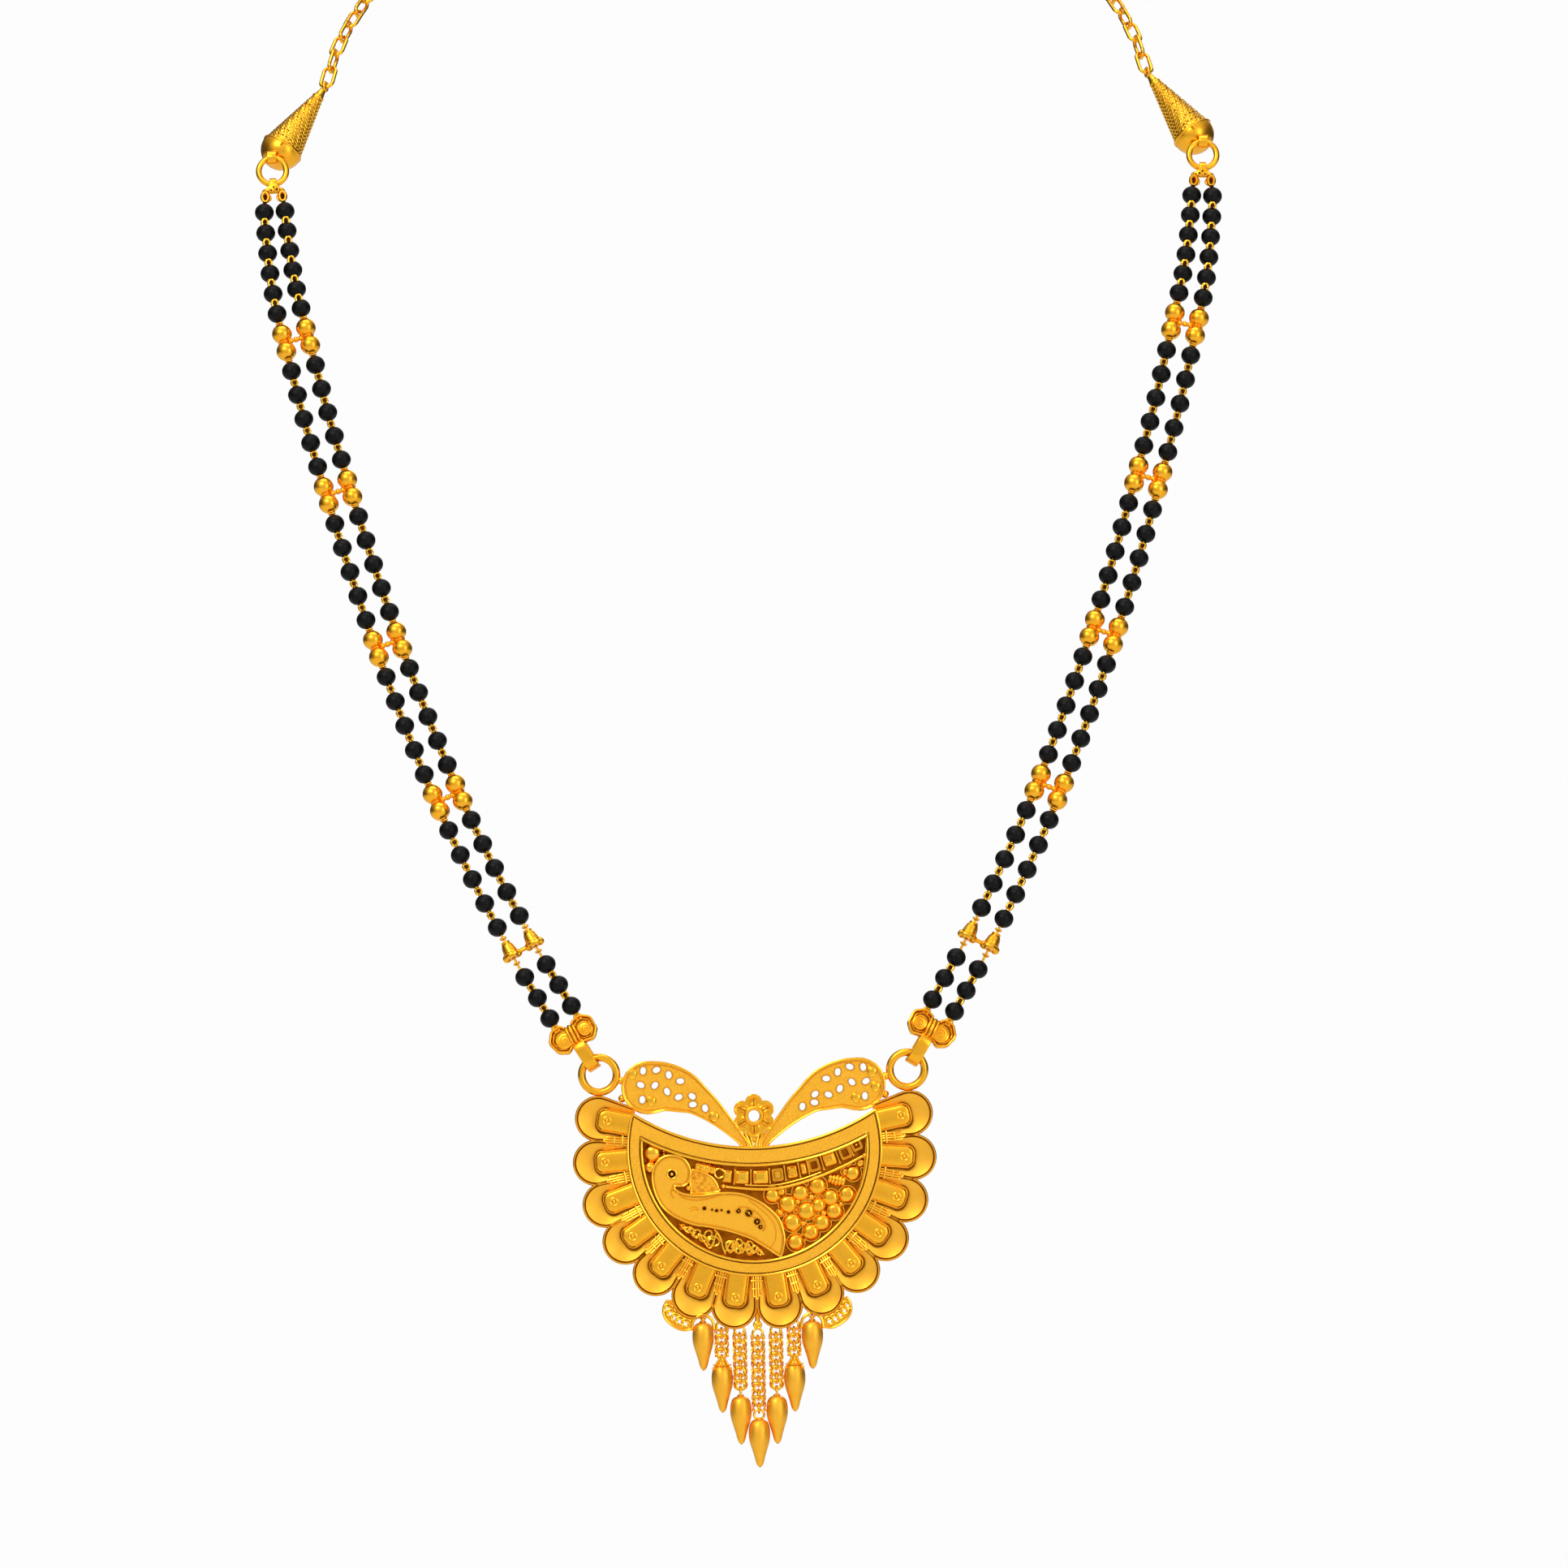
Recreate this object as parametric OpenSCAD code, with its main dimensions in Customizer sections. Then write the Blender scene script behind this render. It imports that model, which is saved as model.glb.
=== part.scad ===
// A mangalsutra: a two-strand necklace of black and gold beads with a crescent pendant.
// Millimetres. +Z is up, the wearer faces -Y, and the origin is the nape, in the middle of the clasp.
// The right side is modelled and the left side is its mirror image.

/* [Necklace] */
// Height of the pendant's rings below the nape
pendant_drop = 192; // [150:1:230]
// Distance of the pendant in front of the nape
pendant_reach = 105; // [80:1:130]

/* [Black beads] */
// Diameter of a black bead
bead_d = 3.0; // [2.4:0.1:3.3]
// Bore through every bead and spacer
bead_bore = 0.8; // [0.7:0.05:1.0]
// Diameter of the wire through the beads
wire_d = 0.4; // [0.3:0.05:0.5]
// Gap between the beads of a side's two strands
strand_gap = 1.0; // [0.8:0.1:1.6]
// The same gap at the yoke
top_gap = 0.3; // [0.2:0.05:0.8]

/* [Spacers] */
// Diameter of a gold ball
ball_d = 3.2; // [2.8:0.1:3.4]
// Distance between the two balls on a strand
ball_pitch = 3.05; // [2.6:0.05:3.1]
// Diameter of the small balls between the strands
seed_d = 0.95; // [0.8:0.05:1.2]
// Length of a bell bead
bell_len = 3.0; // [2.4:0.1:3.6]
// Diameter of a bell bead at its mouth
bell_d = 2.7; // [2.2:0.1:3.0]

/* [End caps] */
// Diameter of the dome
dome_d = 6.8; // [6:0.1:8]
// Length of the cone, from the middle of the dome to its tip
cone_len = 13.2; // [10:0.1:16]
// Lean of the cone toward the neck, seen from the front
cone_lean = 35; // [20:1:50]
// Lean of the cone toward the back
cone_back = 18.5; // [5:0.5:35]
// Outer diameter of the ring under the cap
cap_ring_d = 5.4; // [4.8:0.1:7]
// Wire of that ring
cap_ring_wire = 0.95; // [0.8:0.05:1.1]
// Width of the strap that holds the ring
cap_strap_w = 1.5; // [1:0.1:1.7]
// Thickness of the strap
cap_strap_t = 0.45; // [0.35:0.05:0.6]

/* [Bow connectors] */
// Diameter of a scrolled lobe
lobe_d = 4.2; // [3.6:0.1:4.6]
// Thickness of the connector
bow_t = 2.2; // [1.8:0.1:3]
// Distance from the connector's middle to the middle of the pendant's ring
bow_reach = 7.6; // [7:0.1:9]
// Width of the flat bail
bail_w = 1.9; // [1.4:0.1:2.1]
// Thickness of the bail's strip
bail_t = 0.5; // [0.4:0.05:0.7]
// Inner depth of the bail, front to back
bail_depth = 2.8; // [2.6:0.1:3.2]

/* [Pendant frame] */
// Outer radius of the crescent frame
frame_r = 20.5; // [18:0.5:24]
// Width of the frame's curved band
band_w = 2.6; // [2:0.1:3.4]
// Radius of the frame's upper edge
smile_r = 35.5; // [30:0.5:45]
// Height of that edge's lowest point above the frame's centre
smile_rise = 0.3; // [-1:0.1:2]
// Width of the upper band
smile_w = 3.2; // [2.4:0.1:4]
// Thickness of the back plate
plate_t = 0.6; // [0.5:0.1:1]
// Height of the frame above the back
frame_t = 2.4; // [2:0.1:3.2]
// Width of the raised rims and border wires
rim_w = 0.4; // [0.3:0.05:0.6]
// Height that a rim stands proud
rim_h = 0.3; // [0.2:0.05:0.5]

/* [Petals] */
// Number of petals round the frame
petals = 14; // [10:1:16]
// Angle from the first petal to the last
petal_arc = 203.6; // [180:1:215]
// Radius of a petal's round end
petal_r = 3.6; // [3.2:0.1:4.2]
// Distance from the frame's edge to the middle of that end
petal_reach = 5.0; // [4:0.1:6.5]
// Height of a petal's rim above the back
petal_t = 1.7; // [1.2:0.1:2.1]
// Width of the raised tongue on a petal
tongue_w = 3.4; // [2.4:0.1:4]
// Length of the tongue beyond the frame's edge
tongue_len = 5.4; // [4:0.1:6.5]

/* [Wings and flower] */
// Radius of the flower
flower_r = 3.5; // [2.8:0.1:4.2]
// Radius of the hole in the flower
flower_hole_r = 0.9; // [0.6:0.1:1.2]
// Diameter of the holes in the wings
wing_hole_d = 1.15; // [0.8:0.05:1.4]
// Outer diameter of the pendant's two rings
ring_d = 6.8; // [6.2:0.1:8]
// Wire of those rings
ring_wire = 1.24; // [1:0.02:1.3]

/* [Drops] */
// Diameter of a drop
drop_d = 3.3; // [2.6:0.1:3.4]
// Length of a drop
drop_len = 7.7; // [6:0.1:10]
// Sideways distance between the tassel chains
tassel_pitch = 2.9; // [2.8:0.05:3.2]
// Radius of a tassel link, to the middle of its wire
tassel_link_r = 0.8; // [0.78:0.01:0.9]
// Diameter of a tassel link's wire
tassel_wire = 0.4; // [0.3:0.01:0.4]

/* [Back chain] */
// Wanted distance from link to link
link_pitch = 3.5; // [3.2:0.1:4.5]
// Diameter of a link's wire
link_wire = 0.6; // [0.5:0.05:0.65]
// Outer width of a link
link_w = 2.6; // [2.4:0.1:3.4]
// Length of the clasp's barrel
clasp_len = 8; // [6:0.5:12]
// Diameter of the clasp's barrel
clasp_d = 3; // [2.4:0.1:4]

/* [Hidden] */

GOLD = "goldenrod";
JET = [0.08, 0.08, 0.09];

// Steps to a full circle of the true round pieces
ROUND = 48;
// Room left between loose pieces that hold each other
slack = 0.1;

// Middle line of the right-hand pair of strands, from the bow up to the cap's ring.
// Each point is [out from the bow, back from the bow, up from the bow].
STRAND_ROUTE = [
    [0, 0, 0], [2.1, 1, 3.9], [8.5, 4, 15.1], [17.6, 9, 33.7], [25.3, 14.5, 52.9],
    [32.2, 20.5, 73.1], [38.9, 27.5, 95.9], [42.1, 31.5, 108.5], [44.9, 35.5, 120.6],
    [46.2, 38.5, 130.7], [46.6, 40.5, 138.2]
];

// Way of the right-hand back chain from the cap's tip to the clasp, as shares of that distance:
// [share of the way out, share of the way forward, share of the way down].
BACK_ROUTE = [
    [1, 1, 1], [0.95, 0.86, 0.72], [0.84, 0.64, 0.42], [0.66, 0.4, 0.19],
    [0.43, 0.19, 0.06], [0.2, 0.05, 0.01], [0, 0, 0]
];

// Beads in each run, from the bow up. A bell spacer follows the first run and ball spacers the next four.
RUNS = [3, 5, 5, 5, 5, 6];
// Gap between the beads of each run, before the runs are stretched to the route
RUN_GAPS = [0.9, 1.35, 1.25, 1.15, 1.1, 0.38];
// Gap beside a ball spacer, below a bell spacer and above it
ball_gap = 0.38;
bell_gap_low = 1.9;
bell_gap_high = 1.1;
// From the bow's middle to the first bead, and from the last bead to the cap's ring
bow_lead = 2.8;
top_lead = 3.15;
// Length over which the two strands draw together below the yoke
taper_len = 22;

strand_spacing = bead_d + strand_gap;
top_spacing = bead_d + top_gap;

// Helpers

function unit(v) = v / norm(v);

function catmull(a, b, c, d, t) =
    0.5 * (2 * b + (c - a) * t + (2 * a - 5 * b + 4 * c - d) * t * t
        + (3 * b - a - 3 * c + d) * t * t * t);

// A smooth curve through the points of a route
function smooth_path(route, steps = 12) =
    let (last = len(route) - 1)
    concat(
        [for (i = [0 : last - 1], j = [0 : steps - 1])
            catmull(route[max(i - 1, 0)], route[i], route[i + 1],
                route[min(i + 2, last)], j / steps)],
        [route[last]]);

function distances(path) =
    [for (i = 0, s = 0; i < len(path);
        s = s + (i + 1 < len(path) ? norm(path[i + 1] - path[i]) : 0), i = i + 1) s];

// For each axis, a table of the distance along the path and the coordinate there
function path_table(path) =
    let (s = distances(path))
    [for (axis = [0 : 2]) [for (i = [0 : len(path) - 1]) [s[i], path[i][axis]]]];

function table_length(table) = table[0][len(table[0]) - 1][0];

function along(table, s) = [for (axis = [0 : 2]) lookup(s, table[axis])];

function heading(table, s) =
    let (probe = 0.8, end = table_length(table))
    unit(along(table, min(s + probe, end)) - along(table, max(s - probe, 0)));

// Frame on a path: Z runs along it, X is square to it and to the reference direction
function frame_on(table, s, reference) =
    let (t = heading(table, s), n = unit(cross(t, reference)), b = cross(t, n), p = along(table, s))
    [[n.x, b.x, t.x, p.x], [n.y, b.y, t.y, p.y], [n.z, b.z, t.z, p.z], [0, 0, 0, 1]];

// The turn of a frame without its place
function turn_only(m) =
    [for (i = [0 : 3]) [m[i][0], m[i][1], m[i][2], i == 3 ? 1 : 0]];

function in_frame(m, p) = let (q = m * [p.x, p.y, p.z, 1]) [q.x, q.y, q.z];

module on_path(table, s, reference) multmatrix(frame_on(table, s, reference)) children();

module sided(side)
    if (side == "left")
        mirror([1, 0, 0]) children();
    else
        children();

module ring(middle_r, wire_r)
    rotate_extrude($fn = ROUND) translate([middle_r, 0]) circle(wire_r, $fn = 24);

// A ring seen edge-on from the front
module ring_edge_on(middle_r, wire_r) rotate([0, 90, 0]) ring(middle_r, wire_r);

// A ring seen face-on from the front
module ring_face_on(middle_r, wire_r) rotate([90, 0, 0]) ring(middle_r, wire_r);

// Where the pendant's rings hang

FRONT = [0, -1, 0];
UP = [0, 0, 1];

ring_wire_r = ring_wire / 2;
ring_mid_r = ring_d / 2 - ring_wire_r;
ring_mid_t = 0.9;

// The wing is a chain of circles, each [out, up, radius] as shares of the frame's radius
WING = [
    [0.824, 0.488, 0.209], [0.702, 0.493, 0.19], [0.576, 0.459, 0.166], [0.463, 0.4, 0.122],
    [0.356, 0.322, 0.093], [0.259, 0.234, 0.066], [0.185, 0.159, 0.049], [0.105, 0.071, 0.032],
    [0.05, 0.0, 0.03]
];
wing_shoulder = [WING[0].x, WING[0].y] * frame_r;
wing_shoulder_r = WING[0].z * frame_r;
// The ring's middle lies outside the wing's shoulder, at this angle above the level
ring_side_angle = 15.7;
ring_gap = 0.4;
ring_side = [cos(ring_side_angle), sin(ring_side_angle)];
ring_place = wing_shoulder + (wing_shoulder_r + ring_gap + ring_d / 2) * ring_side;
ring_x = ring_place.x;

// The bail pulls on the ring at this angle from the level
bail_angle = 58;
bail_dir = [cos(bail_angle), 0, sin(bail_angle)];
ring_centre = [ring_x, -pendant_reach, -pendant_drop];
bail_hold = ring_centre + ring_mid_r * bail_dir;
bow_centre = ring_centre + bow_reach * bail_dir;

// Strands

strand_table = path_table(smooth_path([for (p = STRAND_ROUTE) bow_centre + p]));
strand_len = table_length(strand_table);
hang_point = along(strand_table, strand_len);

BEAD = 0;
BALLS = 1;
BELL = 2;
last_run = len(RUNS) - 1;
ball_spacer_len = ball_pitch + ball_d;

function gap_over_run(r) = r == last_run ? 0 : r == 0 ? bell_gap_low : ball_gap;

// Every piece on a strand from the bow up, as [kind, length, gap above it]
ITEMS = [for (r = [0 : last_run]) each concat(
    [for (i = [1 : RUNS[r]]) [BEAD, bead_d, i < RUNS[r] ? RUN_GAPS[r] : gap_over_run(r)]],
    r == 0 ? [[BELL, bell_len, bell_gap_high]] : r < last_run ? [[BALLS, ball_spacer_len, ball_gap]] : [])];

function total(list) = [for (v = list) 1] * list;

gap_scale = (strand_len - bow_lead - top_lead - total([for (i = ITEMS) i[1]]))
    / total([for (i = ITEMS) i[2]]);

// Distance from the bow's middle to each piece's middle
STATIONS = [for (i = 0, s = bow_lead; i < len(ITEMS);
    s = s + ITEMS[i][1] + ITEMS[i][2] * gap_scale, i = i + 1) s + ITEMS[i][1] / 2];

function stations_of(kind) = [for (i = [0 : len(ITEMS) - 1]) if (ITEMS[i][0] == kind) STATIONS[i]];

// Half the distance between the strands
function half_spacing(s) =
    lookup(s, [[strand_len - taper_len, strand_spacing / 2], [strand_len - top_lead, top_spacing / 2]]);

function row_sign(row) = row == "outer" ? 1 : -1;

function strand_point(s, row) =
    in_frame(frame_on(strand_table, s, FRONT), [row_sign(row) * half_spacing(s), 0, 0]);

module on_strand(s) on_path(strand_table, s, FRONT) children();

module black_beads(side, row)
    color(JET) sided(side)
        for (s = stations_of(BEAD))
            on_strand(s)
                translate([row_sign(row) * half_spacing(s), 0, 0])
                    difference() {
                        sphere(d = bead_d, $fn = ROUND);
                        cylinder(d = bead_bore, h = bead_d + 1, center = true, $fn = 24);
                    }

collar_r = 0.8;
collar_h = 0.7;
seed_rod_r = 0.3;

// Two balls and their collar as one turned outline that stays clear of the bore
module ball_pair()
    rotate_extrude($fn = ROUND)
        difference() {
            union() {
                for (z = [-1, 1] * ball_pitch / 2)
                    translate([0, z]) circle(d = ball_d, $fn = ROUND);
                translate([0, -collar_h / 2]) square([collar_r, collar_h]);
            }
            translate([-ball_d, -ball_spacer_len])
                square([ball_d + bead_bore / 2, 2 * ball_spacer_len]);
        }

module ball_spacer(side, index)
    color(GOLD) sided(side)
        on_strand(stations_of(BALLS)[4 - index]) {
            for (x = [-1, 1] * strand_spacing / 2) translate([x, 0, 0]) ball_pair();
            seed_bar();
        }

// Three small balls in a row that bridge the strands, turned as one bar that ends in the collars
module seed_bar() {
    reach = strand_spacing / 2 - collar_r;
    length = 2 * (reach + collar_r - bead_bore / 2 - 0.15);
    rotate([0, 90, 0])
        rotate_extrude($fn = 32)
            difference() {
                union() {
                    for (x = [-1, 0, 1])
                        translate([0, x * (reach - seed_d * 0.38)]) circle(d = seed_d, $fn = 32);
                    square([2 * seed_rod_r, length], center = true);
                }
                translate([-seed_d, -length]) square([seed_d, 2 * length]);
            }
}

module strand_bores(length)
    for (x = [-1, 1] * strand_spacing / 2)
        translate([x, 0, 0]) cylinder(d = bead_bore, h = length, center = true, $fn = 24);

bell_top_r = 0.65;
bell_ball_d = 1.4;
bell_bar_r = 0.35;

// Two bells, mouths toward the pendant, each with two small balls at its mouth
module bell_spacer(side) {
    mouth = -bell_len / 2 + 0.5;
    color(GOLD) sided(side)
        on_strand(stations_of(BELL)[0])
            difference() {
                union() {
                    for (x = [-1, 1] * strand_spacing / 2)
                        translate([x, 0, 0]) {
                            bell();
                            for (turn = [-1, 1])
                                translate([turn * bell_d * 0.36, 0, mouth - 0.1])
                                    sphere(d = bell_ball_d, $fn = 32);
                        }
                    translate([0, 0, mouth])
                        rotate([0, 90, 0])
                            cylinder(r = bell_bar_r, h = strand_spacing, center = true, $fn = 32);
                }
                strand_bores(bell_len + 1);
            }
}

module bell()
    rotate_extrude($fn = ROUND)
        polygon([
            [0, -bell_len / 2], [bell_d / 2 * 0.8, -bell_len / 2], [bell_d / 2, -bell_len / 2 + 0.35],
            [bell_d / 2 * 0.92, -bell_len / 2 + 0.8], [bell_d / 2 * 0.84, 0],
            [bell_d / 2 * 0.72, bell_len * 0.25], [bell_top_r, bell_len / 2 - 0.2],
            [bell_top_r, bell_len / 2], [0, bell_len / 2]
        ]);

// Yoke, eyes and the wires that hang from it

yoke_loop_r = 0.95;
yoke_wire_r = 0.3;
yoke_drop = yoke_loop_r - yoke_wire_r - cap_ring_wire / 2 - slack;
yoke_bar_z = -yoke_drop - yoke_loop_r;
yoke_bar_r = 0.36;
corner_ball_r = 0.5;
corner_r = 0.6;
corner_wire_r = 0.2;
eye_r = wire_d / 2 + corner_wire_r + slack + 0.05;
// The eye's middle sits below the yoke's corner ring, which passes through it
eye_z = yoke_bar_z - 2 * corner_r + (corner_wire_r + wire_d / 2 + slack - eye_r);
eye_x = top_spacing / 2 - eye_r;

module yoke(side)
    color(GOLD) sided(side)
        on_strand(strand_len) {
            translate([0, 0, -yoke_drop]) ring_edge_on(yoke_loop_r, yoke_wire_r);
            translate([0, 0, yoke_bar_z]) yoke_bar();
            for (x = [-1, 1] * eye_x)
                translate([x, 0, yoke_bar_z - corner_r]) ring_edge_on(corner_r, corner_wire_r);
        }

// A bar with a ball at each end, as one turned outline
module yoke_bar()
    rotate([0, 90, 0])
        rotate_extrude($fn = 32)
            intersection() {
                union() {
                    for (x = [-1, 1] * eye_x) translate([0, x]) circle(r = corner_ball_r, $fn = 32);
                    square([2 * yoke_bar_r, 2 * eye_x], center = true);
                }
                translate([0, -top_spacing]) square([top_spacing, 2 * top_spacing]);
            }

// The wire's way: up through its beads, then once round its eye
WIRE_STEP = 4.4;
wire_start = 1.3;
EYE_TURN = [for (a = [170 : -34 : -136]) a];

function wire_path(row) =
    let (
        sign = row_sign(row),
        top = frame_on(strand_table, strand_len, FRONT),
        straight_end = strand_len - top_lead,
        steps = ceil((straight_end - wire_start) / WIRE_STEP))
    concat(
        [for (i = [0 : steps]) strand_point(wire_start + (straight_end - wire_start) * i / steps, row)],
        [in_frame(top, [sign * top_spacing / 2, 0, eye_z - 0.3])],
        [for (a = EYE_TURN) in_frame(top, [sign * (eye_x - eye_r * cos(a)), 0, eye_z + eye_r * sin(a)])]);

WIRE_SIDES = 6;

function path_tangent(path, i) =
    unit(path[min(i + 1, len(path) - 1)] - path[max(i - 1, 0)]);

// A wire swept along a path that bends mostly in the plane of the front view
module swept_wire(path, r) {
    points = [for (i = [0 : len(path) - 1])
        let (t = path_tangent(path, i), n = unit(cross(t, FRONT)), b = cross(t, n))
        for (k = [0 : WIRE_SIDES - 1])
            let (a = 360 * k / WIRE_SIDES)
            path[i] + r * (cos(a) * n + sin(a) * b)];
    sides = [for (i = [0 : len(path) - 2], k = [0 : WIRE_SIDES - 1])
        let (k2 = (k + 1) % WIRE_SIDES, low = i * WIRE_SIDES, high = low + WIRE_SIDES)
        [low + k, high + k, high + k2, low + k2]];
    first_cap = [[for (k = [0 : WIRE_SIDES - 1]) k]];
    last_cap = [[for (k = [WIRE_SIDES - 1 : -1 : 0]) (len(path) - 1) * WIRE_SIDES + k]];
    polyhedron(points, concat(sides, first_cap, last_cap), convexity = 8);
}

module wire(side, row)
    color(GOLD) sided(side) swept_wire(wire_path(row), wire_d / 2);

// Cap ring, end cap and tip

cap_ring_mid_r = (cap_ring_d - cap_ring_wire) / 2;
cap_ring_top = in_frame(frame_on(strand_table, strand_len, FRONT), [0, 0, 2 * cap_ring_mid_r]);

module cap_ring(side)
    color(GOLD) sided(side)
        on_strand(strand_len)
            translate([0, 0, cap_ring_mid_r]) ring_face_on(cap_ring_mid_r, cap_ring_wire / 2);

cap_strap_hole_r = cap_ring_wire / 2 + slack + 0.18;
// Way from the dome's middle to the ring's top wire: out, forward and down
cap_strap_dir = unit([0.36, -0.88, -0.33]);
cap_strap_reach = dome_d / 2 + cap_strap_hole_r + 0.15;
dome_centre = cap_ring_top - cap_strap_reach * cap_strap_dir;
cone_dir = [-sin(cone_lean) * cos(cone_back), sin(cone_back), cos(cone_lean) * cos(cone_back)];

tip_ring_r = 0.65;
tip_wire_r = 0.25;
tip_r = 0.45;
cone_base_share = 0.94;
cap_rim = 0.12;
tip_centre = dome_centre + cone_len * cone_dir;

// Dome and cone as one turned outline, with the dome's pole downward
module cap_body() {
    r = dome_d / 2;
    neck = cone_len - tip_ring_r - tip_wire_r;
    rotate_extrude($fn = ROUND)
        polygon(concat(
            [for (a = [-90 : 10 : 0]) r * [cos(a), sin(a)]],
            [
                [r + cap_rim, 0.1], [r + cap_rim, 0.5], [r * cone_base_share, 0.7],
                [r * 0.27, neck - 1.6], [r * 0.29, neck - 1.3], [r * 0.24, neck - 1],
                [tip_r, neck + 0.3], [0, neck + 0.3]
            ]));
}

module end_cap(side)
    color(GOLD) sided(side) {
        translate(dome_centre)
            rotate([0, acos(cone_dir.z), atan2(cone_dir.y, cone_dir.x)])
                cap_body();
        translate(tip_centre)
            multmatrix(turn_only(frame_on(back_table, 0, UP)))
                ring_edge_on(tip_ring_r, tip_wire_r);
        translate(cap_ring_top) cap_strap();
    }

// The strap loops round the ring's top wire and is soldered to the dome
module cap_strap()
    multmatrix(turn_only(frame_on(strand_table, strand_len, FRONT)))
        rotate([0, 90, 0])
            linear_extrude(cap_strap_w, center = true)
                difference() {
                    circle(cap_strap_hole_r + cap_strap_t, $fn = ROUND);
                    circle(cap_strap_hole_r, $fn = ROUND);
                }

// Bow connector

bow_frame = frame_on(strand_table, 0, FRONT);
lobe_rim_r = 0.28;
clamp_w = 1.8;
ridge_r = 0.36;
// Play below the pendant's ring inside the bail
bail_gap = 0.6;

// Outline of a button: a flat back, a rounded edge and a low dome in front
module lobe_body() {
    r = lobe_d / 2;
    rotate_extrude($fn = ROUND)
        polygon([
            [0, -bow_t / 2], [r * 0.8, -bow_t / 2], [r * 0.96, -bow_t * 0.35], [r, -bow_t * 0.1],
            [r * 0.97, bow_t * 0.12], [r * 0.86, bow_t * 0.28], [r * 0.6, bow_t * 0.4],
            [r * 0.3, bow_t * 0.48], [0, bow_t / 2]
        ]);
}

module bow_lobe() {
    lobe_body();
    translate([0, 0, bow_t * 0.22]) ring(lobe_d * 0.42, lobe_rim_r);
    translate([0, 0, bow_t * 0.44]) ring(lobe_d * 0.2, lobe_rim_r * 0.8);
    translate([0, 0, bow_t * 0.42]) sphere(r = lobe_d * 0.1, $fn = 32);
}

// The clamp is a block with three ridges over its front
module bow_clamp() {
    height = lobe_d * 0.72;
    cube([clamp_w, bow_t, height], center = true);
    for (x = [-1, 0, 1] * clamp_w * 0.32)
        translate([x, -bow_t / 2, 0]) cylinder(r = ridge_r, h = height * 0.96, center = true, $fn = 32);
}

// Flat strip bent into a long loop. Its lower end takes the pendant's ring.
module bail() {
    inner_r = bail_depth / 2;
    low = inner_r - ring_wire_r - bail_gap;
    high = bow_reach - ring_mid_r - inner_r - bail_t - lobe_d * 0.2;
    multmatrix([
        [bail_dir.z, 0, bail_dir.x, bail_hold.x],
        [0, 1, 0, bail_hold.y],
        [-bail_dir.x, 0, bail_dir.z, bail_hold.z],
        [0, 0, 0, 1]])
        rotate([0, -90, 0])
            linear_extrude(bail_w, center = true)
                difference() {
                    long_round(low, high, inner_r + bail_t);
                    long_round(low, high, inner_r);
                }
}

module long_round(low, high, r) {
    translate([low, 0]) circle(r, $fn = ROUND);
    translate([high, 0]) circle(r, $fn = ROUND);
    translate([low, -r]) square([high - low, 2 * r]);
}

module bow(side)
    color(GOLD) sided(side) {
        multmatrix(bow_frame)
            difference() {
                union() {
                    for (x = [-1, 1] * strand_spacing / 2)
                        translate([x, 0, 0]) rotate([90, 0, 0]) bow_lobe();
                    bow_clamp();
                }
                for (x = [-1, 1] * strand_spacing / 2)
                    translate([x, 0, wire_start - slack])
                        cylinder(d = bead_bore, h = lobe_d, $fn = 24);
            }
        bail();
    }

// Back chain and clasp

clasp_ring_r = 0.65;
clasp_ring_wire_r = 0.25;
clasp_end = clasp_len / 2 + clasp_ring_r;
back_table = path_table(smooth_path([for (p = BACK_ROUTE)
    [clasp_end + p.x * (tip_centre.x - clasp_end), p.y * tip_centre.y, p.z * tip_centre.z]]));
back_len = table_length(back_table);
link_wire_r = link_wire / 2;
links = round(back_len / link_pitch);
real_pitch = (back_len - link_wire - slack) / links;
link_mid_len = real_pitch + link_wire + slack;
link_end_r = (link_w - link_wire) / 2;

// A long link with its length along Z, flat in the XZ plane
module long_link() {
    straight = link_mid_len - 2 * link_end_r;
    for (x = [-1, 1] * link_end_r)
        translate([x, 0, 0]) cylinder(r = link_wire_r, h = straight, center = true, $fn = 24);
    for (turn = [0, 180])
        rotate([0, turn, 0])
            translate([0, 0, straight / 2])
                rotate([90, 0, 0])
                    rotate_extrude(angle = 180, $fn = ROUND)
                        translate([link_end_r, 0]) circle(link_wire_r, $fn = 24);
}

// The same way on the other side
function mirrored(table) =
    [for (axis = [0 : 2]) [for (p = table[axis]) [p[0], axis == 0 ? -p[1] : p[1]]]];

module back_chain(side)
    color(GOLD)
        for (i = [0 : links - 1])
            on_path(side == "left" ? mirrored(back_table) : back_table,
                link_mid_len / 2 + i * real_pitch, UP)
                rotate([0, 0, i % 2 == 0 ? 0 : 90])
                    long_link();

// One plain barrel with a ring at each end
module clasp()
    color(GOLD) {
        rotate([0, 90, 0])
            rotate_extrude($fn = ROUND)
                polygon([
                    [0, -clasp_len / 2], [clasp_d * 0.2, -clasp_len / 2], [clasp_d * 0.4, -clasp_len * 0.44],
                    [clasp_d * 0.5, -clasp_len * 0.36], [clasp_d * 0.5, clasp_len * 0.36],
                    [clasp_d * 0.4, clasp_len * 0.44], [clasp_d * 0.2, clasp_len / 2], [0, clasp_len / 2]
                ]);
        for (x = [-1, 1] * clasp_end)
            translate([x, 0, 0])
                rotate([links % 2 == 0 ? 0 : 90, 0, 0])
                    ring(clasp_ring_r, clasp_ring_wire_r);
    }

// Tassel

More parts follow.
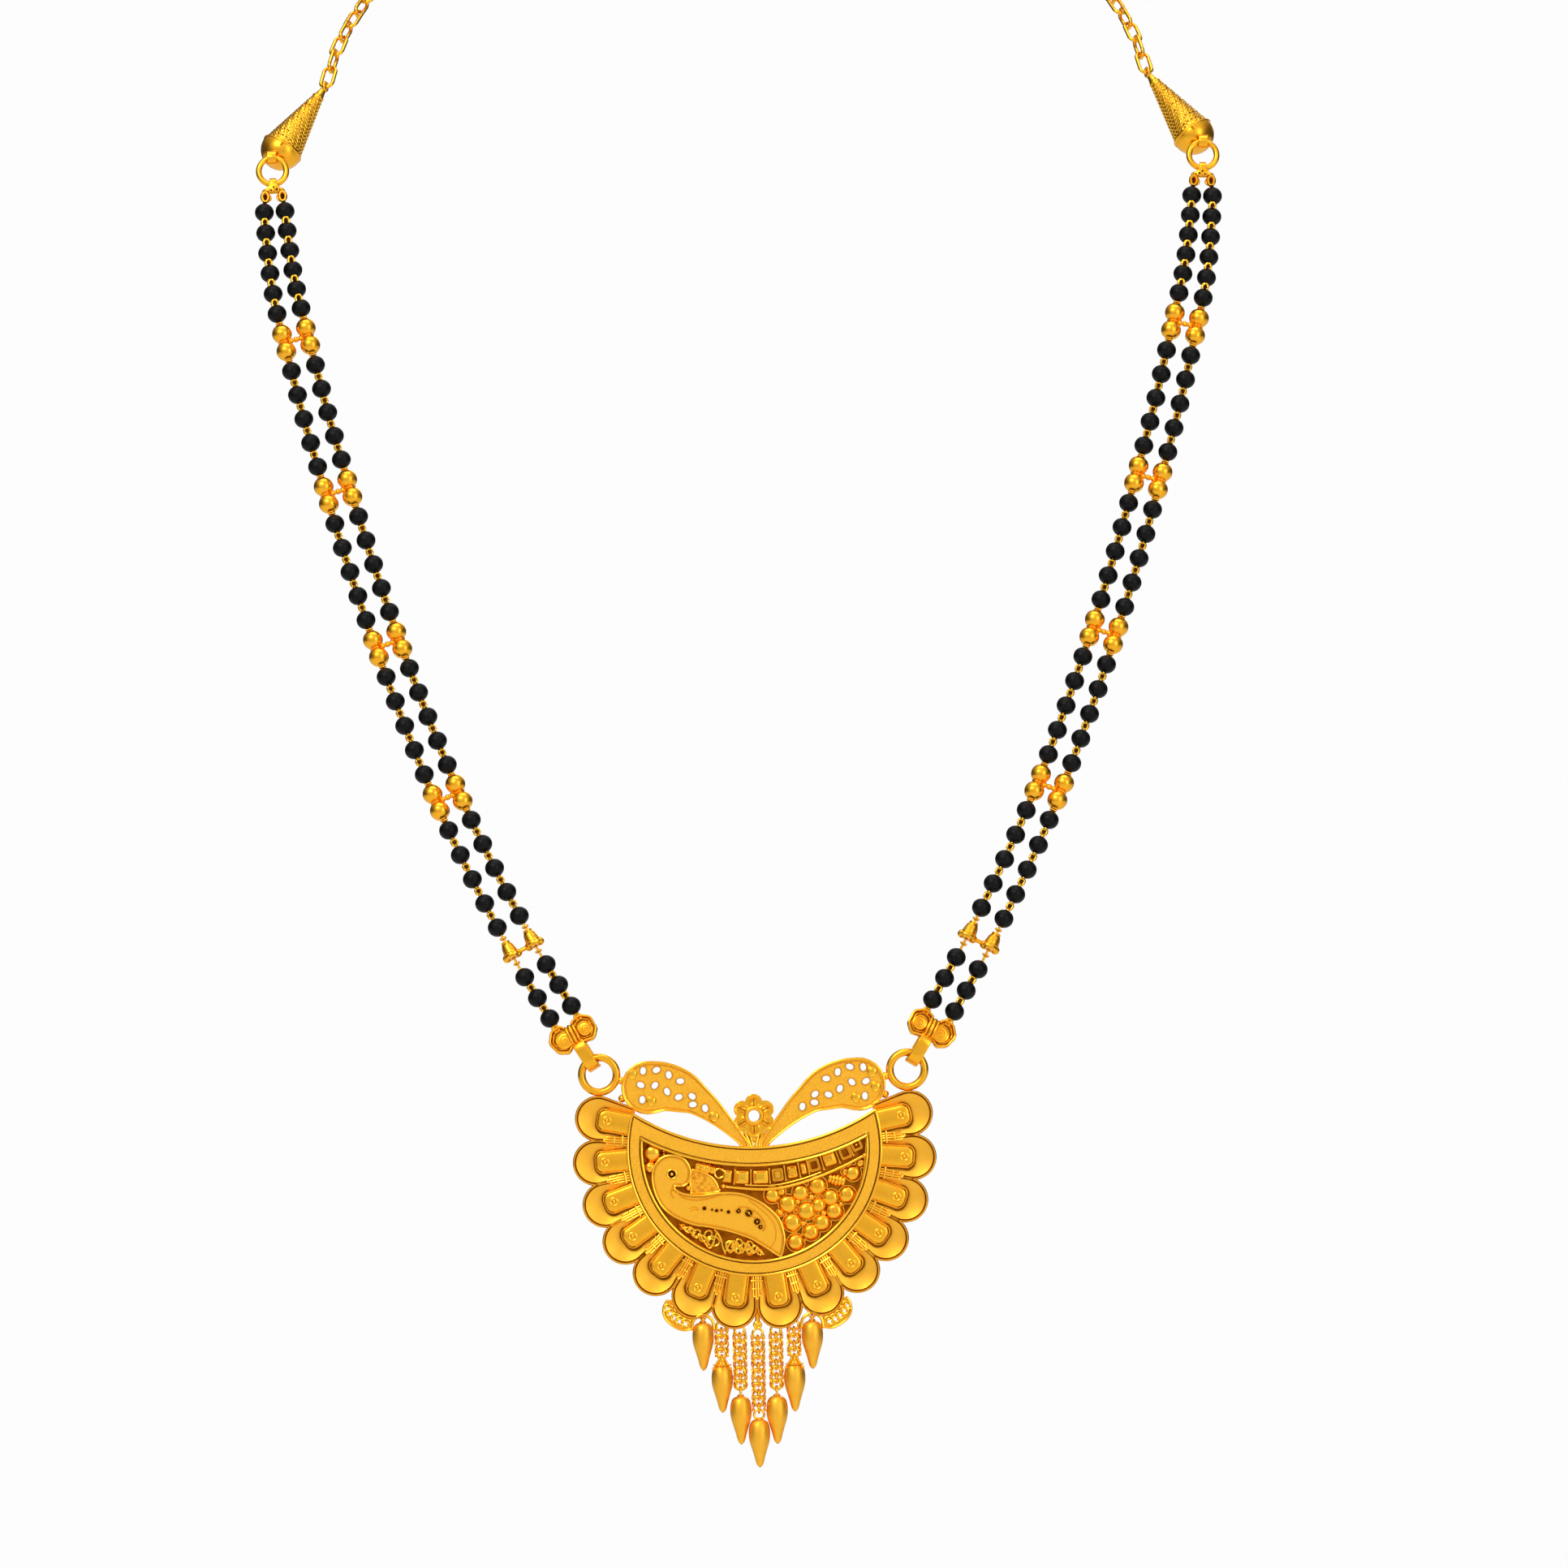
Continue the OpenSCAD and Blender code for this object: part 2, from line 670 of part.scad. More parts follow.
// Links in each tassel chain, from left to right. The outer two drops hang without a chain.
TASSEL_LINKS = [0, 4, 8, 11, 8, 4, 0];
middle_drop = 3;
tassel_wire_r = tassel_wire / 2;
tassel_link_pitch = 2 * tassel_link_r - tassel_wire - slack - 0.02;
side_drop_x = 3 * tassel_pitch + 0.05;
side_loop_r = 0.5;
side_loop_wire_r = 0.18;
side_loop_pitch = 2 * side_loop_r - 2 * side_loop_wire_r - slack;
// Depth of a hook's wire inside the petal that it is soldered to
hook_sink = 0.4;
// Falls are measured from the frame's centre
lowest_fall = frame_r + petal_reach + petal_r;
middle_ball_r = 0.75;
middle_ball_fall = lowest_fall - 0.8;
// The middle hook hangs from its ball
middle_hook_fall = middle_ball_fall + middle_ball_r + tassel_link_r - 0.15;

function drop_x(i) = i == 0 ? -side_drop_x : i == 6 ? side_drop_x : (i - middle_drop) * tassel_pitch;
function is_side(i) = i == 0 || i == 6;
function loop_r(i) = is_side(i) ? side_loop_r : tassel_link_r;
function loop_wire_r(i) = is_side(i) ? side_loop_wire_r : tassel_wire_r;

// Fall of the petals' edge at a distance to the side
function petal_fall(x) = max([for (i = [0 : petals - 1])
    let (centre = (frame_r + petal_reach) * [cos(petal_angle(i)), sin(petal_angle(i))],
        across = abs(x - centre.x))
    across < petal_r ? sqrt(petal_r * petal_r - across * across) - centre.y : 0]);

function hook_fall_of(i) =
    i == middle_drop ? middle_hook_fall : petal_fall(drop_x(i)) + loop_r(i) - hook_sink;
function loop_fall(i) =
    hook_fall_of(i) + (is_side(i) ? side_loop_pitch : (TASSEL_LINKS[i] + 1) * tassel_link_pitch);

// Places of the pendant's middle: its frame's centre, in the middle plane of its rings
pendant_centre = ring_centre - [ring_x, 0, ring_place.y];

module turned_link(i)
    if (i % 2 == 0)
        ring_face_on(tassel_link_r, tassel_wire_r);
    else
        ring_edge_on(tassel_link_r, tassel_wire_r);

module tassel_chain(i)
    color(GOLD)
        for (k = [1 : TASSEL_LINKS[i]])
            translate(pendant_centre + [drop_x(i), 0, -hook_fall_of(i) - k * tassel_link_pitch])
                turned_link(k);

// Radius and fall of a drop's outline, as shares of its half width and its length
DROP_OUTLINE = [
    [0, 0], [0.4, 0.01], [0.72, 0.05], [0.9, 0.12], [1, 0.24], [1, 0.36], [0.95, 0.45], [0.85, 0.54],
    [0.72, 0.63], [0.6, 0.72], [0.48, 0.81], [0.38, 0.9], [0.28, 0.96], [0.14, 0.99], [0, 1]
];

module drop(i) {
    top = -loop_fall(i) - loop_r(i) - loop_wire_r(i) + 0.3;
    color(GOLD) translate(pendant_centre + [drop_x(i), 0, 0]) {
        translate([0, 0, top])
            rotate_extrude($fn = ROUND)
                polygon([for (p = DROP_OUTLINE) [p.x * drop_d / 2, -p.y * drop_len]]);
        translate([0, 0, -loop_fall(i)])
            if (is_side(i))
                ring_edge_on(side_loop_r, side_loop_wire_r);
            else
                turned_link(TASSEL_LINKS[i] + 1);
    }
}

// Pendant, drawn flat with its back on the XY plane and then stood up

// The peacock's body, from its head to its tail: [across, up, radius] as shares of the frame's radius
PEACOCK = [
    [-0.654, -0.19, 0.146], [-0.722, -0.298, 0.088], [-0.702, -0.376, 0.088], [-0.629, -0.439, 0.095],
    [-0.463, -0.468, 0.122], [-0.268, -0.488, 0.146], [-0.095, -0.522, 0.159], [0.044, -0.59, 0.146],
    [0.146, -0.712, 0.076], [0.205, -0.839, 0.02]
];
// Small holes in its back: [across, up] as shares of the frame's radius
PEACOCK_HOLES = [[-0.41, -0.459], [-0.308, -0.47], [-0.205, -0.483], [-0.102, -0.495], [0, -0.507]];
// Round grains beside the peacock: [across, up, radius] as shares of the frame's radius
GRAINS = [
    [0.12, -0.38, 0.057], [0.235, -0.44, 0.063], [0.355, -0.36, 0.063], [0.5, -0.3, 0.07],
    [0.65, -0.25, 0.063], [0.765, -0.21, 0.057], [0.385, -0.505, 0.063], [0.49, -0.455, 0.057],
    [0.59, -0.4, 0.063], [0.72, -0.375, 0.063], [0.62, -0.505, 0.067], [0.295, -0.575, 0.063],
    [0.51, -0.585, 0.063], [0.43, -0.66, 0.063], [0.3, -0.74, 0.063], [-0.8, -0.04, 0.07],
    [-0.805, -0.16, 0.057]
];
// Holes in a wing: [out, up] as shares of the frame's radius
WING_HOLES = [
    [0.86, 0.62], [0.755, 0.625], [0.66, 0.585], [0.57, 0.535], [0.88, 0.51], [0.77, 0.505],
    [0.675, 0.455], [0.585, 0.41], [0.87, 0.395], [0.48, 0.415], [0.38, 0.32], [0.475, 0.35]
];
// Scroll loops between the peacock and the frame: [across, up] as shares of the frame's radius
SCROLLS = [
    [-0.55, -0.64], [-0.44, -0.69], [-0.33, -0.735], [-0.22, -0.775], [-0.11, -0.81]
];
body_t = 2.2;
grain_z = 1.3;
scroll_r = 1.15;
square_w = 2.0;
square_pitch = 2.44;
// From the upper band to the square beads, and from the beads to the middle of the wire below them
square_gap = 0.7;
rail_gap = 1.1;
// Angles of the first and the last square bead, and of the wire's ends, under the upper band
SQUARE_ANGLES = [-11, 24];
RAIL_ANGLES = [-7.5, 25];
RAIL_STEPS = 6;
square_fall = smile_w + square_gap + square_w / 2;
rail_fall = square_fall + square_w / 2 + rail_gap;
rail_w = 0.45;
petal_back = 0.3;
petal_sheet = 0.5;
wing_low = 0.4;
wing_high = 1.4;
granule_r = 0.5;
solder_r = 0.65;
// Steps to a full circle of the frame
FINE = 48;

module chain_of_circles(circles, shrink = 0)
    for (i = [0 : len(circles) - 2])
        hull()
            for (c = [circles[i], circles[i + 1]])
                translate([c.x, c.y] * frame_r)
                    circle(max(c.z * frame_r - shrink, 0.02), $fn = 12);

smile_centre_y = smile_rise + smile_r;

// The crescent's outline, with its round edge moved in by one amount and its upper edge by another
module crescent(round_in, smile_in)
    difference() {
        circle(frame_r - round_in, $fn = FINE);
        translate([0, smile_centre_y]) circle(smile_r + smile_in, $fn = 1.5 * FINE);
    }

// Sheets end inside their rims and start a little above them, so that no two walls lie in one plane
bury = rim_w / 2;
back_step = 0.05;

// An extrusion between two heights
module layer(from, to) translate([0, 0, from]) linear_extrude(to - from) children();

module frame_part() {
    layer(2 * back_step, plate_t) crescent(band_w / 2, smile_w / 2);
    layer(back_step, frame_t)
        difference() {
            crescent(bury, bury);
            crescent(band_w - bury, smile_w - bury);
        }
    linear_extrude(frame_t + rim_h) {
        difference() {
            crescent(0, 0);
            crescent(rim_w, rim_w);
        }
        difference() {
            crescent(band_w - rim_w, smile_w - rim_w);
            crescent(band_w, smile_w);
        }
    }
}

module petal_outline(shrink)
    hull() {
        translate([frame_r + petal_reach, 0]) circle(petal_r - shrink, $fn = 16);
        translate([frame_r - 0.6 - 2 * shrink, shrink - petal_r * 0.75])
            square([0.1, petal_r * 1.5 - 2 * shrink]);
    }

module tongue_outline(shrink)
    hull() {
        translate([frame_r + tongue_len - tongue_w / 2, 0]) circle(tongue_w / 2 - shrink, $fn = 10);
        translate([frame_r - 0.5, shrink - tongue_w / 2]) square([0.4, tongue_w - 2 * shrink]);
    }

module petal() {
    layer(petal_back, petal_t)
        difference() {
            petal_outline(0);
            petal_outline(rim_w);
        }
    layer(petal_back + back_step, petal_back + petal_sheet) petal_outline(bury);
    layer(petal_back + 2 * back_step, petal_t + 0.2) tongue_outline(0);
    layer(petal_back + 3 * back_step, petal_t + 0.6) tongue_outline(rim_w);
    translate([frame_r + tongue_len - tongue_w / 2, 0, petal_t])
        cylinder(r = granule_r, h = 0.9, $fn = 7);
}

petal_step = petal_arc / (petals - 1);
function petal_angle(i) = 270 - petal_arc / 2 + i * petal_step;

module petal_fan()
    for (i = [0 : petals - 1]) rotate(petal_angle(i)) petal();

module wing() {
    difference() {
        union() {
            layer(wing_low + back_step, wing_high) chain_of_circles(WING, bury);
            layer(wing_low, wing_high + rim_h)
                difference() {
                    chain_of_circles(WING);
                    chain_of_circles(WING, rim_w);
                }
        }
        for (p = WING_HOLES)
            translate([p.x * frame_r, p.y * frame_r, 0]) cylinder(d = wing_hole_d, h = frame_t, $fn = 8);
    }
    translate([ring_place.x, ring_place.y, ring_mid_t])
        rotate_extrude($fn = 20) translate([ring_mid_r, 0]) circle(ring_wire_r, $fn = 8);
    // Balls of solder: one beside the ring, one in the corner of ring, wing and petal
    for (turn = [ring_side_angle, -22])
        translate([each wing_shoulder + (wing_shoulder_r + ring_gap / 2) * [cos(turn), sin(turn)], ring_mid_t])
            sphere(solder_r, $fn = 8);
}

flower_y = smile_rise + flower_r + 1.4;
flower_petal_r = flower_r * 0.4;
flower_t = 1.1;
flower_core_t = 1.6;

module flower() {
    translate([0, flower_y, 0.9])
        difference() {
            union() {
                linear_extrude(flower_t)
                    for (a = [30 : 60 : 330])
                        rotate(a) translate([flower_r - flower_petal_r, 0]) circle(flower_petal_r, $fn = 12);
                layer(back_step, flower_t + back_step) circle(flower_r * 0.6, $fn = 12);
                layer(2 * back_step, flower_core_t) circle(flower_r * 0.44, $fn = 16);
            }
            cylinder(r = flower_hole_r, h = 3 * flower_core_t, center = true, $fn = 12);
        }
    // The stem spreads into two wires between the wings
    for (side = [-1, 1])
        hull() {
            translate([side * 0.5, smile_rise - 0.4, wing_low + 2 * back_step])
                cylinder(r = 0.4, h = 0.95, $fn = 8);
            translate([side * 1.3, flower_y - flower_r + 0.9, wing_low + 2 * back_step])
                cylinder(r = 0.4, h = 0.95, $fn = 8);
        }
}

module peacock() {
    eye = [PEACOCK[0].x + 0.01, PEACOCK[0].y] * frame_r;
    translate([0, 0, plate_t - 0.1]) {
        difference() {
            linear_extrude(body_t - plate_t) chain_of_circles(PEACOCK, bury);
            for (p = PEACOCK_HOLES)
                translate([p.x * frame_r, p.y * frame_r, 0.7]) cylinder(r = 0.35, h = frame_t, $fn = 8);
        }
        linear_extrude(body_t - plate_t + rim_h)
            difference() {
                chain_of_circles(PEACOCK);
                chain_of_circles(PEACOCK, rim_w);
            }
        translate([eye.x, eye.y, 0]) cylinder(r = 0.65, h = body_t - plate_t + rim_h, $fn = 12);
    }
    // Shell behind the neck
    translate([-0.425 * frame_r, -0.31 * frame_r, plate_t - 0.1])
        scale([1.25, 1, 1]) cylinder(r1 = 2.4, r2 = 2.0, h = 1.3, $fn = 16);
}

module inlay() {
    for (g = GRAINS)
        translate([g.x * frame_r, g.y * frame_r, grain_z]) sphere(g.z * frame_r, $fn = 8);
    for (p = SCROLLS)
        translate([p.x * frame_r, p.y * frame_r, plate_t - 0.1])
            linear_extrude(1.1)
                difference() {
                    circle(scroll_r, $fn = 8);
                    circle(scroll_r - 0.35, $fn = 8);
                }
    step = square_pitch / (smile_r + square_fall) * 180 / PI;
    for (a = [SQUARE_ANGLES[0] : step : SQUARE_ANGLES[1]])
        under_smile(a, square_fall)
            translate([0, 0, plate_t]) {
                linear_extrude(1.1) square(square_w, center = true);
                linear_extrude(1.45) square(square_w * 0.66, center = true);
            }
    rail_step = (RAIL_ANGLES[1] - RAIL_ANGLES[0]) / RAIL_STEPS;
    for (k = [0 : RAIL_STEPS - 1])
        hull()
            for (j = [k, k + 1])
                under_smile(RAIL_ANGLES[0] + j * rail_step, rail_fall)
                    translate([0, 0, plate_t - 0.1]) cylinder(d = rail_w, h = 1.5, $fn = 6);
    // Upright wire at the right-hand end
    translate([0.81 * frame_r, -0.322 * frame_r, plate_t - 0.1])
        rotate(-6) translate([-rail_w / 2, 0]) cube([rail_w, 0.35 * frame_r, 1.6]);
}

// A place under the upper band: an angle round its centre and a distance below its edge
module under_smile(angle, fall)
    translate([0, smile_centre_y])
        rotate(angle) translate([0, -smile_r - fall]) children();

// Two small pierced leaves hang outside the fourth petal from the middle on each side
leaf_petal = petals / 2 - 2;
leaf_bury = 0.35;
leaf_hole_r = 0.45;
// Angle round the petal's end and reach beyond its edge, along a leaf from its upper end
LEAF = [[190, 0.7], [200, 1.5], [212, 2.1], [225, 2.3], [240, 2.3], [253, 2.2], [266, 1.8]];
LEAF_HOLES = [209, 229, 249];

module leaf() {
    centre = petal_angle(leaf_petal);
    translate((frame_r + petal_reach) * [cos(centre), sin(centre)])
        layer(petal_back + back_step, petal_t - rim_h)
            difference() {
                polygon(concat(
                    [for (p = LEAF) (petal_r + p[1]) * [cos(p[0]), sin(p[0])]],
                    [for (k = [len(LEAF) - 1 : -1 : 0])
                        (petal_r - leaf_bury) * [cos(LEAF[k][0]), sin(LEAF[k][0])]]));
                for (a = LEAF_HOLES)
                    rotate(a) translate([petal_r + 1.2, 0]) circle(leaf_hole_r, $fn = 8);
            }
}

stalk_w = 0.8;
stalk_len = middle_ball_fall - frame_r + 0.3;

// A face-on ring under the petals for each drop or its chain
module hooks() {
    for (i = [0 : 6])
        translate([drop_x(i), -hook_fall_of(i), ring_mid_t])
            rotate_extrude($fn = 10) translate([loop_r(i), 0]) circle(loop_wire_r(i), $fn = 5);
    // A ball under the middle, on a stalk that runs up between the two lowest petals to the frame
    translate([0, -middle_ball_fall, ring_mid_t]) {
        sphere(middle_ball_r, $fn = 12);
        translate([-stalk_w / 2, 0, -0.4]) cube([stalk_w, stalk_len, 0.9]);
    }
}

module pendant()
    color(GOLD)
        translate(pendant_centre + [0, ring_mid_t, 0])
            rotate([90, 0, 0]) {
                frame_part();
                petal_fan();
                for (side = [0, 1])
                    mirror([side, 0, 0]) {
                        wing();
                        leaf();
                    }
                flower();
                peacock();
                inlay();
                hooks();
            }

pendant();
drop(0);  // drop_1
drop(1);  // drop_2
drop(2);  // drop_3
drop(3);  // drop_4
drop(4);  // drop_5
drop(5);  // drop_6
drop(6);  // drop_7
tassel_chain(1);  // tassel_chain_2
tassel_chain(2);  // tassel_chain_3
tassel_chain(3);  // tassel_chain_4
tassel_chain(4);  // tassel_chain_5
tassel_chain(5);  // tassel_chain_6
bow("left");  // bow_left
bow("right");  // bow_right
bell_spacer("left");  // bell_spacer_left
bell_spacer("right");  // bell_spacer_right
ball_spacer("left", 1);  // ball_spacer_left_1
ball_spacer("left", 2);  // ball_spacer_left_2
ball_spacer("left", 3);  // ball_spacer_left_3
ball_spacer("left", 4);  // ball_spacer_left_4
ball_spacer("right", 1);  // ball_spacer_right_1
ball_spacer("right", 2);  // ball_spacer_right_2
ball_spacer("right", 3);  // ball_spacer_right_3
ball_spacer("right", 4);  // ball_spacer_right_4
black_beads("left", "outer");  // black_beads_left_outer
black_beads("left", "inner");  // black_beads_left_inner
black_beads("right", "outer");  // black_beads_right_outer
black_beads("right", "inner");  // black_beads_right_inner
wire("left", "outer");  // wire_left_outer
wire("left", "inner");  // wire_left_inner
wire("right", "outer");  // wire_right_outer
wire("right", "inner");  // wire_right_inner
yoke("left");  // yoke_left
yoke("right");  // yoke_right
cap_ring("left");  // cap_ring_left
cap_ring("right");  // cap_ring_right
end_cap("left");  // end_cap_left
end_cap("right");  // end_cap_right
back_chain("left");  // back_chain_left
back_chain("right");  // back_chain_right
clasp();
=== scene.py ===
import bpy
import math
import numpy as np
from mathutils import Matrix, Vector, geometry

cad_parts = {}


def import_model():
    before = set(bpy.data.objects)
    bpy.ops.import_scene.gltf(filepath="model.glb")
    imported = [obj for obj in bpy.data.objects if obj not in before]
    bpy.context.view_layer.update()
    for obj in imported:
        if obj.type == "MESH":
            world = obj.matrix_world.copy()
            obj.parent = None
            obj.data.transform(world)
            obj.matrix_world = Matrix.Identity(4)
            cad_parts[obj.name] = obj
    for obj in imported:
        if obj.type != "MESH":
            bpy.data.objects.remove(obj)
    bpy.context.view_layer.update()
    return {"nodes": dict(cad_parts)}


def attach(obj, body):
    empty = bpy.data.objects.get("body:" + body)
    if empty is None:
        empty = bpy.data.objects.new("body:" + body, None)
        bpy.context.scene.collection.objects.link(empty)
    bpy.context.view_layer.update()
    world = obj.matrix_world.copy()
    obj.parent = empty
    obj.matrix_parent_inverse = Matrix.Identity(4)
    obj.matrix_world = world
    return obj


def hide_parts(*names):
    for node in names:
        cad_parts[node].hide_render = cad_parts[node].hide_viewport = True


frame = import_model()
rng = np.random.default_rng(7)

# Shapes are in millimetres, as in the CAD model, and Shape.make turns them into metres.
# The floor, the lamps and the camera are in metres.
MM = 0.001
UP = (0, 0, 1)
SHARP_FROM = math.radians(38)


# Materials

def fill(tree, node, inputs):
    """Sets each input of a node to a value, or links it when the value is another node's output."""
    for socket, value in inputs.items():
        if isinstance(value, bpy.types.NodeSocket):
            tree.links.new(value, node.inputs[socket])
        else:
            node.inputs[socket].default_value = value


def added(tree, kind, inputs=None):
    node = tree.nodes.new("ShaderNode" + kind)
    fill(tree, node, inputs or {})
    return node


def material(name):
    m = bpy.data.materials.new(name)
    m.use_nodes = True
    tree = m.node_tree
    return m, tree, tree.nodes["Principled BSDF"], added(tree, "TexCoord").outputs["Object"]


def noise(tree, where, scale, detail=3.0):
    inputs = {"Vector": where, "Scale": scale, "Detail": detail, "Roughness": 0.55}
    return added(tree, "TexNoise", inputs).outputs["Fac"]


def ramp(tree, value, stops):
    r = added(tree, "ValToRGB", {"Fac": value})
    elements = r.color_ramp.elements
    while len(elements) < len(stops):
        elements.new(0.5)
    for element, (place, colour) in zip(elements, stops):
        element.position = place
        element.color = (*colour, 1.0)
    return r.outputs["Color"]


def spread(tree, value, low, high, at_low=0.3, at_high=0.7):
    inputs = {"Value": value, "From Min": at_low, "From Max": at_high, "To Min": low, "To Max": high}
    return added(tree, "MapRange", inputs).outputs["Result"]


def bump(tree, height, depth):
    inputs = {"Strength": 1.0, "Distance": depth * MM, "Height": height}
    return added(tree, "Bump", inputs).outputs["Normal"]


def gold(name, low, high, rough, grain_scale, grain_depth, patch_scale=700.0):
    """Gold whose colour drifts between two tones, with a roughness range and a fine surface grain."""
    m, tree, shader, where = material(name)
    patches = noise(tree, where, patch_scale, 2.0)
    fill(tree, shader, {
        "Metallic": 1.0, "Base Color": ramp(tree, patches, [(0.32, low), (0.68, high)]),
        "Roughness": spread(tree, noise(tree, where, patch_scale * 2.3), *rough),
        "Normal": bump(tree, noise(tree, where, grain_scale, 2.0), grain_depth)})
    return m


polished = gold("gold_polished", (1.0, 0.49, 0.03), (1.0, 0.53, 0.042), (0.16, 0.22), 2600.0, 0.004)
satin = gold("gold_satin", (1.0, 0.46, 0.024), (1.0, 0.49, 0.03), (0.25, 0.31), 4200.0, 0.004)
soft = gold("gold_soft", (1.0, 0.49, 0.038), (1.0, 0.52, 0.048), (0.42, 0.48), 4200.0, 0.004)
frosted = gold("gold_sandblasted", (0.84, 0.37, 0.018), (1.0, 0.54, 0.05), (0.36, 0.46), 8000.0, 0.08, 7200.0)
# A darker gold for painted shade in holes, grooves, pits and behind other parts, and for one painted dark
# reflection on the end caps' domes
painted_shade_and_reflection = gold("gold_painted_shade_and_reflection", (0.3, 0.08, 0.002), (0.52, 0.17, 0.007), (0.34, 0.5), 5200.0, 0.05)
# A dark brown gold for painted shade in grooves, seams and under the tongues' ends
painted_shade_brown = gold("gold_shaded", (0.14, 0.04, 0.002), (0.26, 0.085, 0.004), (0.3, 0.42), 5200.0, 0.01)
# A near-black gold for painted shade in link openings, pits and the peacock's eye
dark = gold("gold_painted_shade_dark", (0.025, 0.008, 0.002), (0.06, 0.02, 0.004), (0.4, 0.6), 5200.0, 0.02)


def black_glass():
    m, tree, shader, where = material("bead_black")
    tones = [(0.3, (0.001, 0.001, 0.001)), (0.7, (0.004, 0.0037, 0.0036))]
    fill(tree, shader, {
        "Base Color": ramp(tree, noise(tree, where, 900.0), tones), "Specular IOR Level": 0.14,
        "Roughness": spread(tree, noise(tree, where, 2100.0), 0.34, 0.44),
        "Normal": bump(tree, noise(tree, where, 3000.0), 0.012)})
    return m


bead_black = black_glass()

for name, node in frame["nodes"].items():
    look = bead_black if name.startswith("black_beads") else polished if "chain" in name else satin
    node.data.materials.clear()
    node.data.materials.append(look)


# Stage

def floor():
    m, tree, shader, where = material("stage_floor")
    tones = [(0.3, (0.86, 0.86, 0.86)), (0.7, (0.9, 0.9, 0.9))]
    fill(tree, shader, {"Base Color": ramp(tree, noise(tree, where, 3.0), tones), "Roughness": 0.6})
    bpy.ops.mesh.primitive_circle_add(vertices=96, radius=2.5, fill_type="NGON", location=(0, -0.1, -0.45))
    disc = bpy.context.object
    disc.name = "floor"
    disc.data.materials.append(m)


def world():
    """White to the camera. The metal sees it bright in front and above, and dark behind."""
    w = bpy.data.worlds.new("studio")
    bpy.context.scene.world = w
    w.use_nodes = True
    tree = w.node_tree
    tree.nodes.clear()
    direction = added(tree, "TexCoord").outputs["Generated"]
    parts = added(tree, "SeparateXYZ", {"Vector": direction}).outputs
    front = spread(tree, parts["Y"], 1.0, 0.0, -0.93, -0.08)
    above = spread(tree, parts["Z"], 0.0, 1.0, -0.2, 0.9)
    total = added(tree, "Math", {0: front, 1: above})
    total.operation = "ADD"
    tones = [(0.0, (0.03, 0.022, 0.018)), (0.25, (0.12, 0.11, 0.1)), (0.5, (0.66, 0.66, 0.66)),
             (1.0, (1.0, 1.0, 1.0))]
    brightness = spread(tree, total.outputs[0], 0.0, 1.0, 0.0, 2.0)
    lit = added(tree, "Background", {"Color": ramp(tree, brightness, tones)})
    seen = added(tree, "Background", {"Color": (0.98, 0.98, 0.98, 1.0)})
    camera_ray = added(tree, "LightPath").outputs["Is Camera Ray"]
    pick = added(tree, "MixShader", {0: camera_ray, 1: lit.outputs[0], 2: seen.outputs[0]})
    added(tree, "OutputWorld", {"Surface": pick.outputs[0]})


def softboxes():
    """Four soft lamps that face the necklace's middle: name, place, size in metres, power in watts."""
    middle = Vector((0.0, -0.1, -0.14))
    for name, place, size, power in (
            ("key", (-0.55, -1.1, 0.75), (0.7, 0.5), 6.0), ("fill", (0.8, -1.1, 0.1), (0.5, 0.9), 2.4),
            ("top", (0.0, -0.2, 1.2), (1.2, 0.6), 5.0), ("back", (0.3, 1.3, 0.5), (0.9, 0.9), 4.0)):
        data = bpy.data.lights.new(name, "AREA")
        data.shape = "RECTANGLE"
        data.size, data.size_y = size
        data.energy = power
        lamp = bpy.data.objects.new(name, data)
        bpy.context.scene.collection.objects.link(lamp)
        lamp.location = place
        lamp.rotation_euler = (middle - Vector(place)).to_track_quat("-Z", "Y").to_euler()
        lamp.visible_camera = False


def camera():
    distance, view_width, roll, aim = 3.5, 0.25116, 1.0, (0.005745, -0.105, -0.14594)
    data = bpy.data.cameras.new("camera")
    data.sensor_width = 36.0
    data.lens = data.sensor_width * distance / view_width
    data.clip_end = 50.0
    cam = bpy.data.objects.new("camera", data)
    bpy.context.scene.collection.objects.link(cam)
    cam.location = (aim[0], aim[1] - distance, aim[2])
    cam.rotation_euler = (math.radians(90), math.radians(roll), 0)
    bpy.context.scene.camera = cam


# Mesh building. A part is (points, faces); a Shape gathers parts, each with the number of its look.

def unit(v):
    return np.asarray(v, float) / np.linalg.norm(v)


def polar(degrees, r=1.0):
    return r * np.array([math.cos(math.radians(degrees)), math.sin(math.radians(degrees))])


def full_turn(steps):
    return np.linspace(0, 2 * math.pi, steps, endpoint=False)


def turn_z(degrees, offset=(0, 0, 0)):
    c, s = polar(degrees)
    return np.array([[c, -s, 0, offset[0]], [s, c, 0, offset[1]], [0, 0, 1, offset[2]], [0, 0, 0, 1]])


def shift(x, y, z=0.0):
    return turn_z(0, (x, y, z))


def axes(x, y, z, origin=(0, 0, 0)):
    """The matrix that takes X, Y and Z to the three directions given."""
    m = np.eye(4)
    m[:3, 0], m[:3, 1], m[:3, 2], m[:3, 3] = x, y, z, origin
    return m


def mirror(side):
    return np.diag([side, 1.0, 1.0, 1.0])


def moved(part, m):
    points, faces = part
    points = np.asarray(points, float) @ m[:3, :3].T + m[:3, 3]
    if np.linalg.det(m[:3, :3]) < 0:
        faces = [f[::-1] for f in faces]
    return points, faces


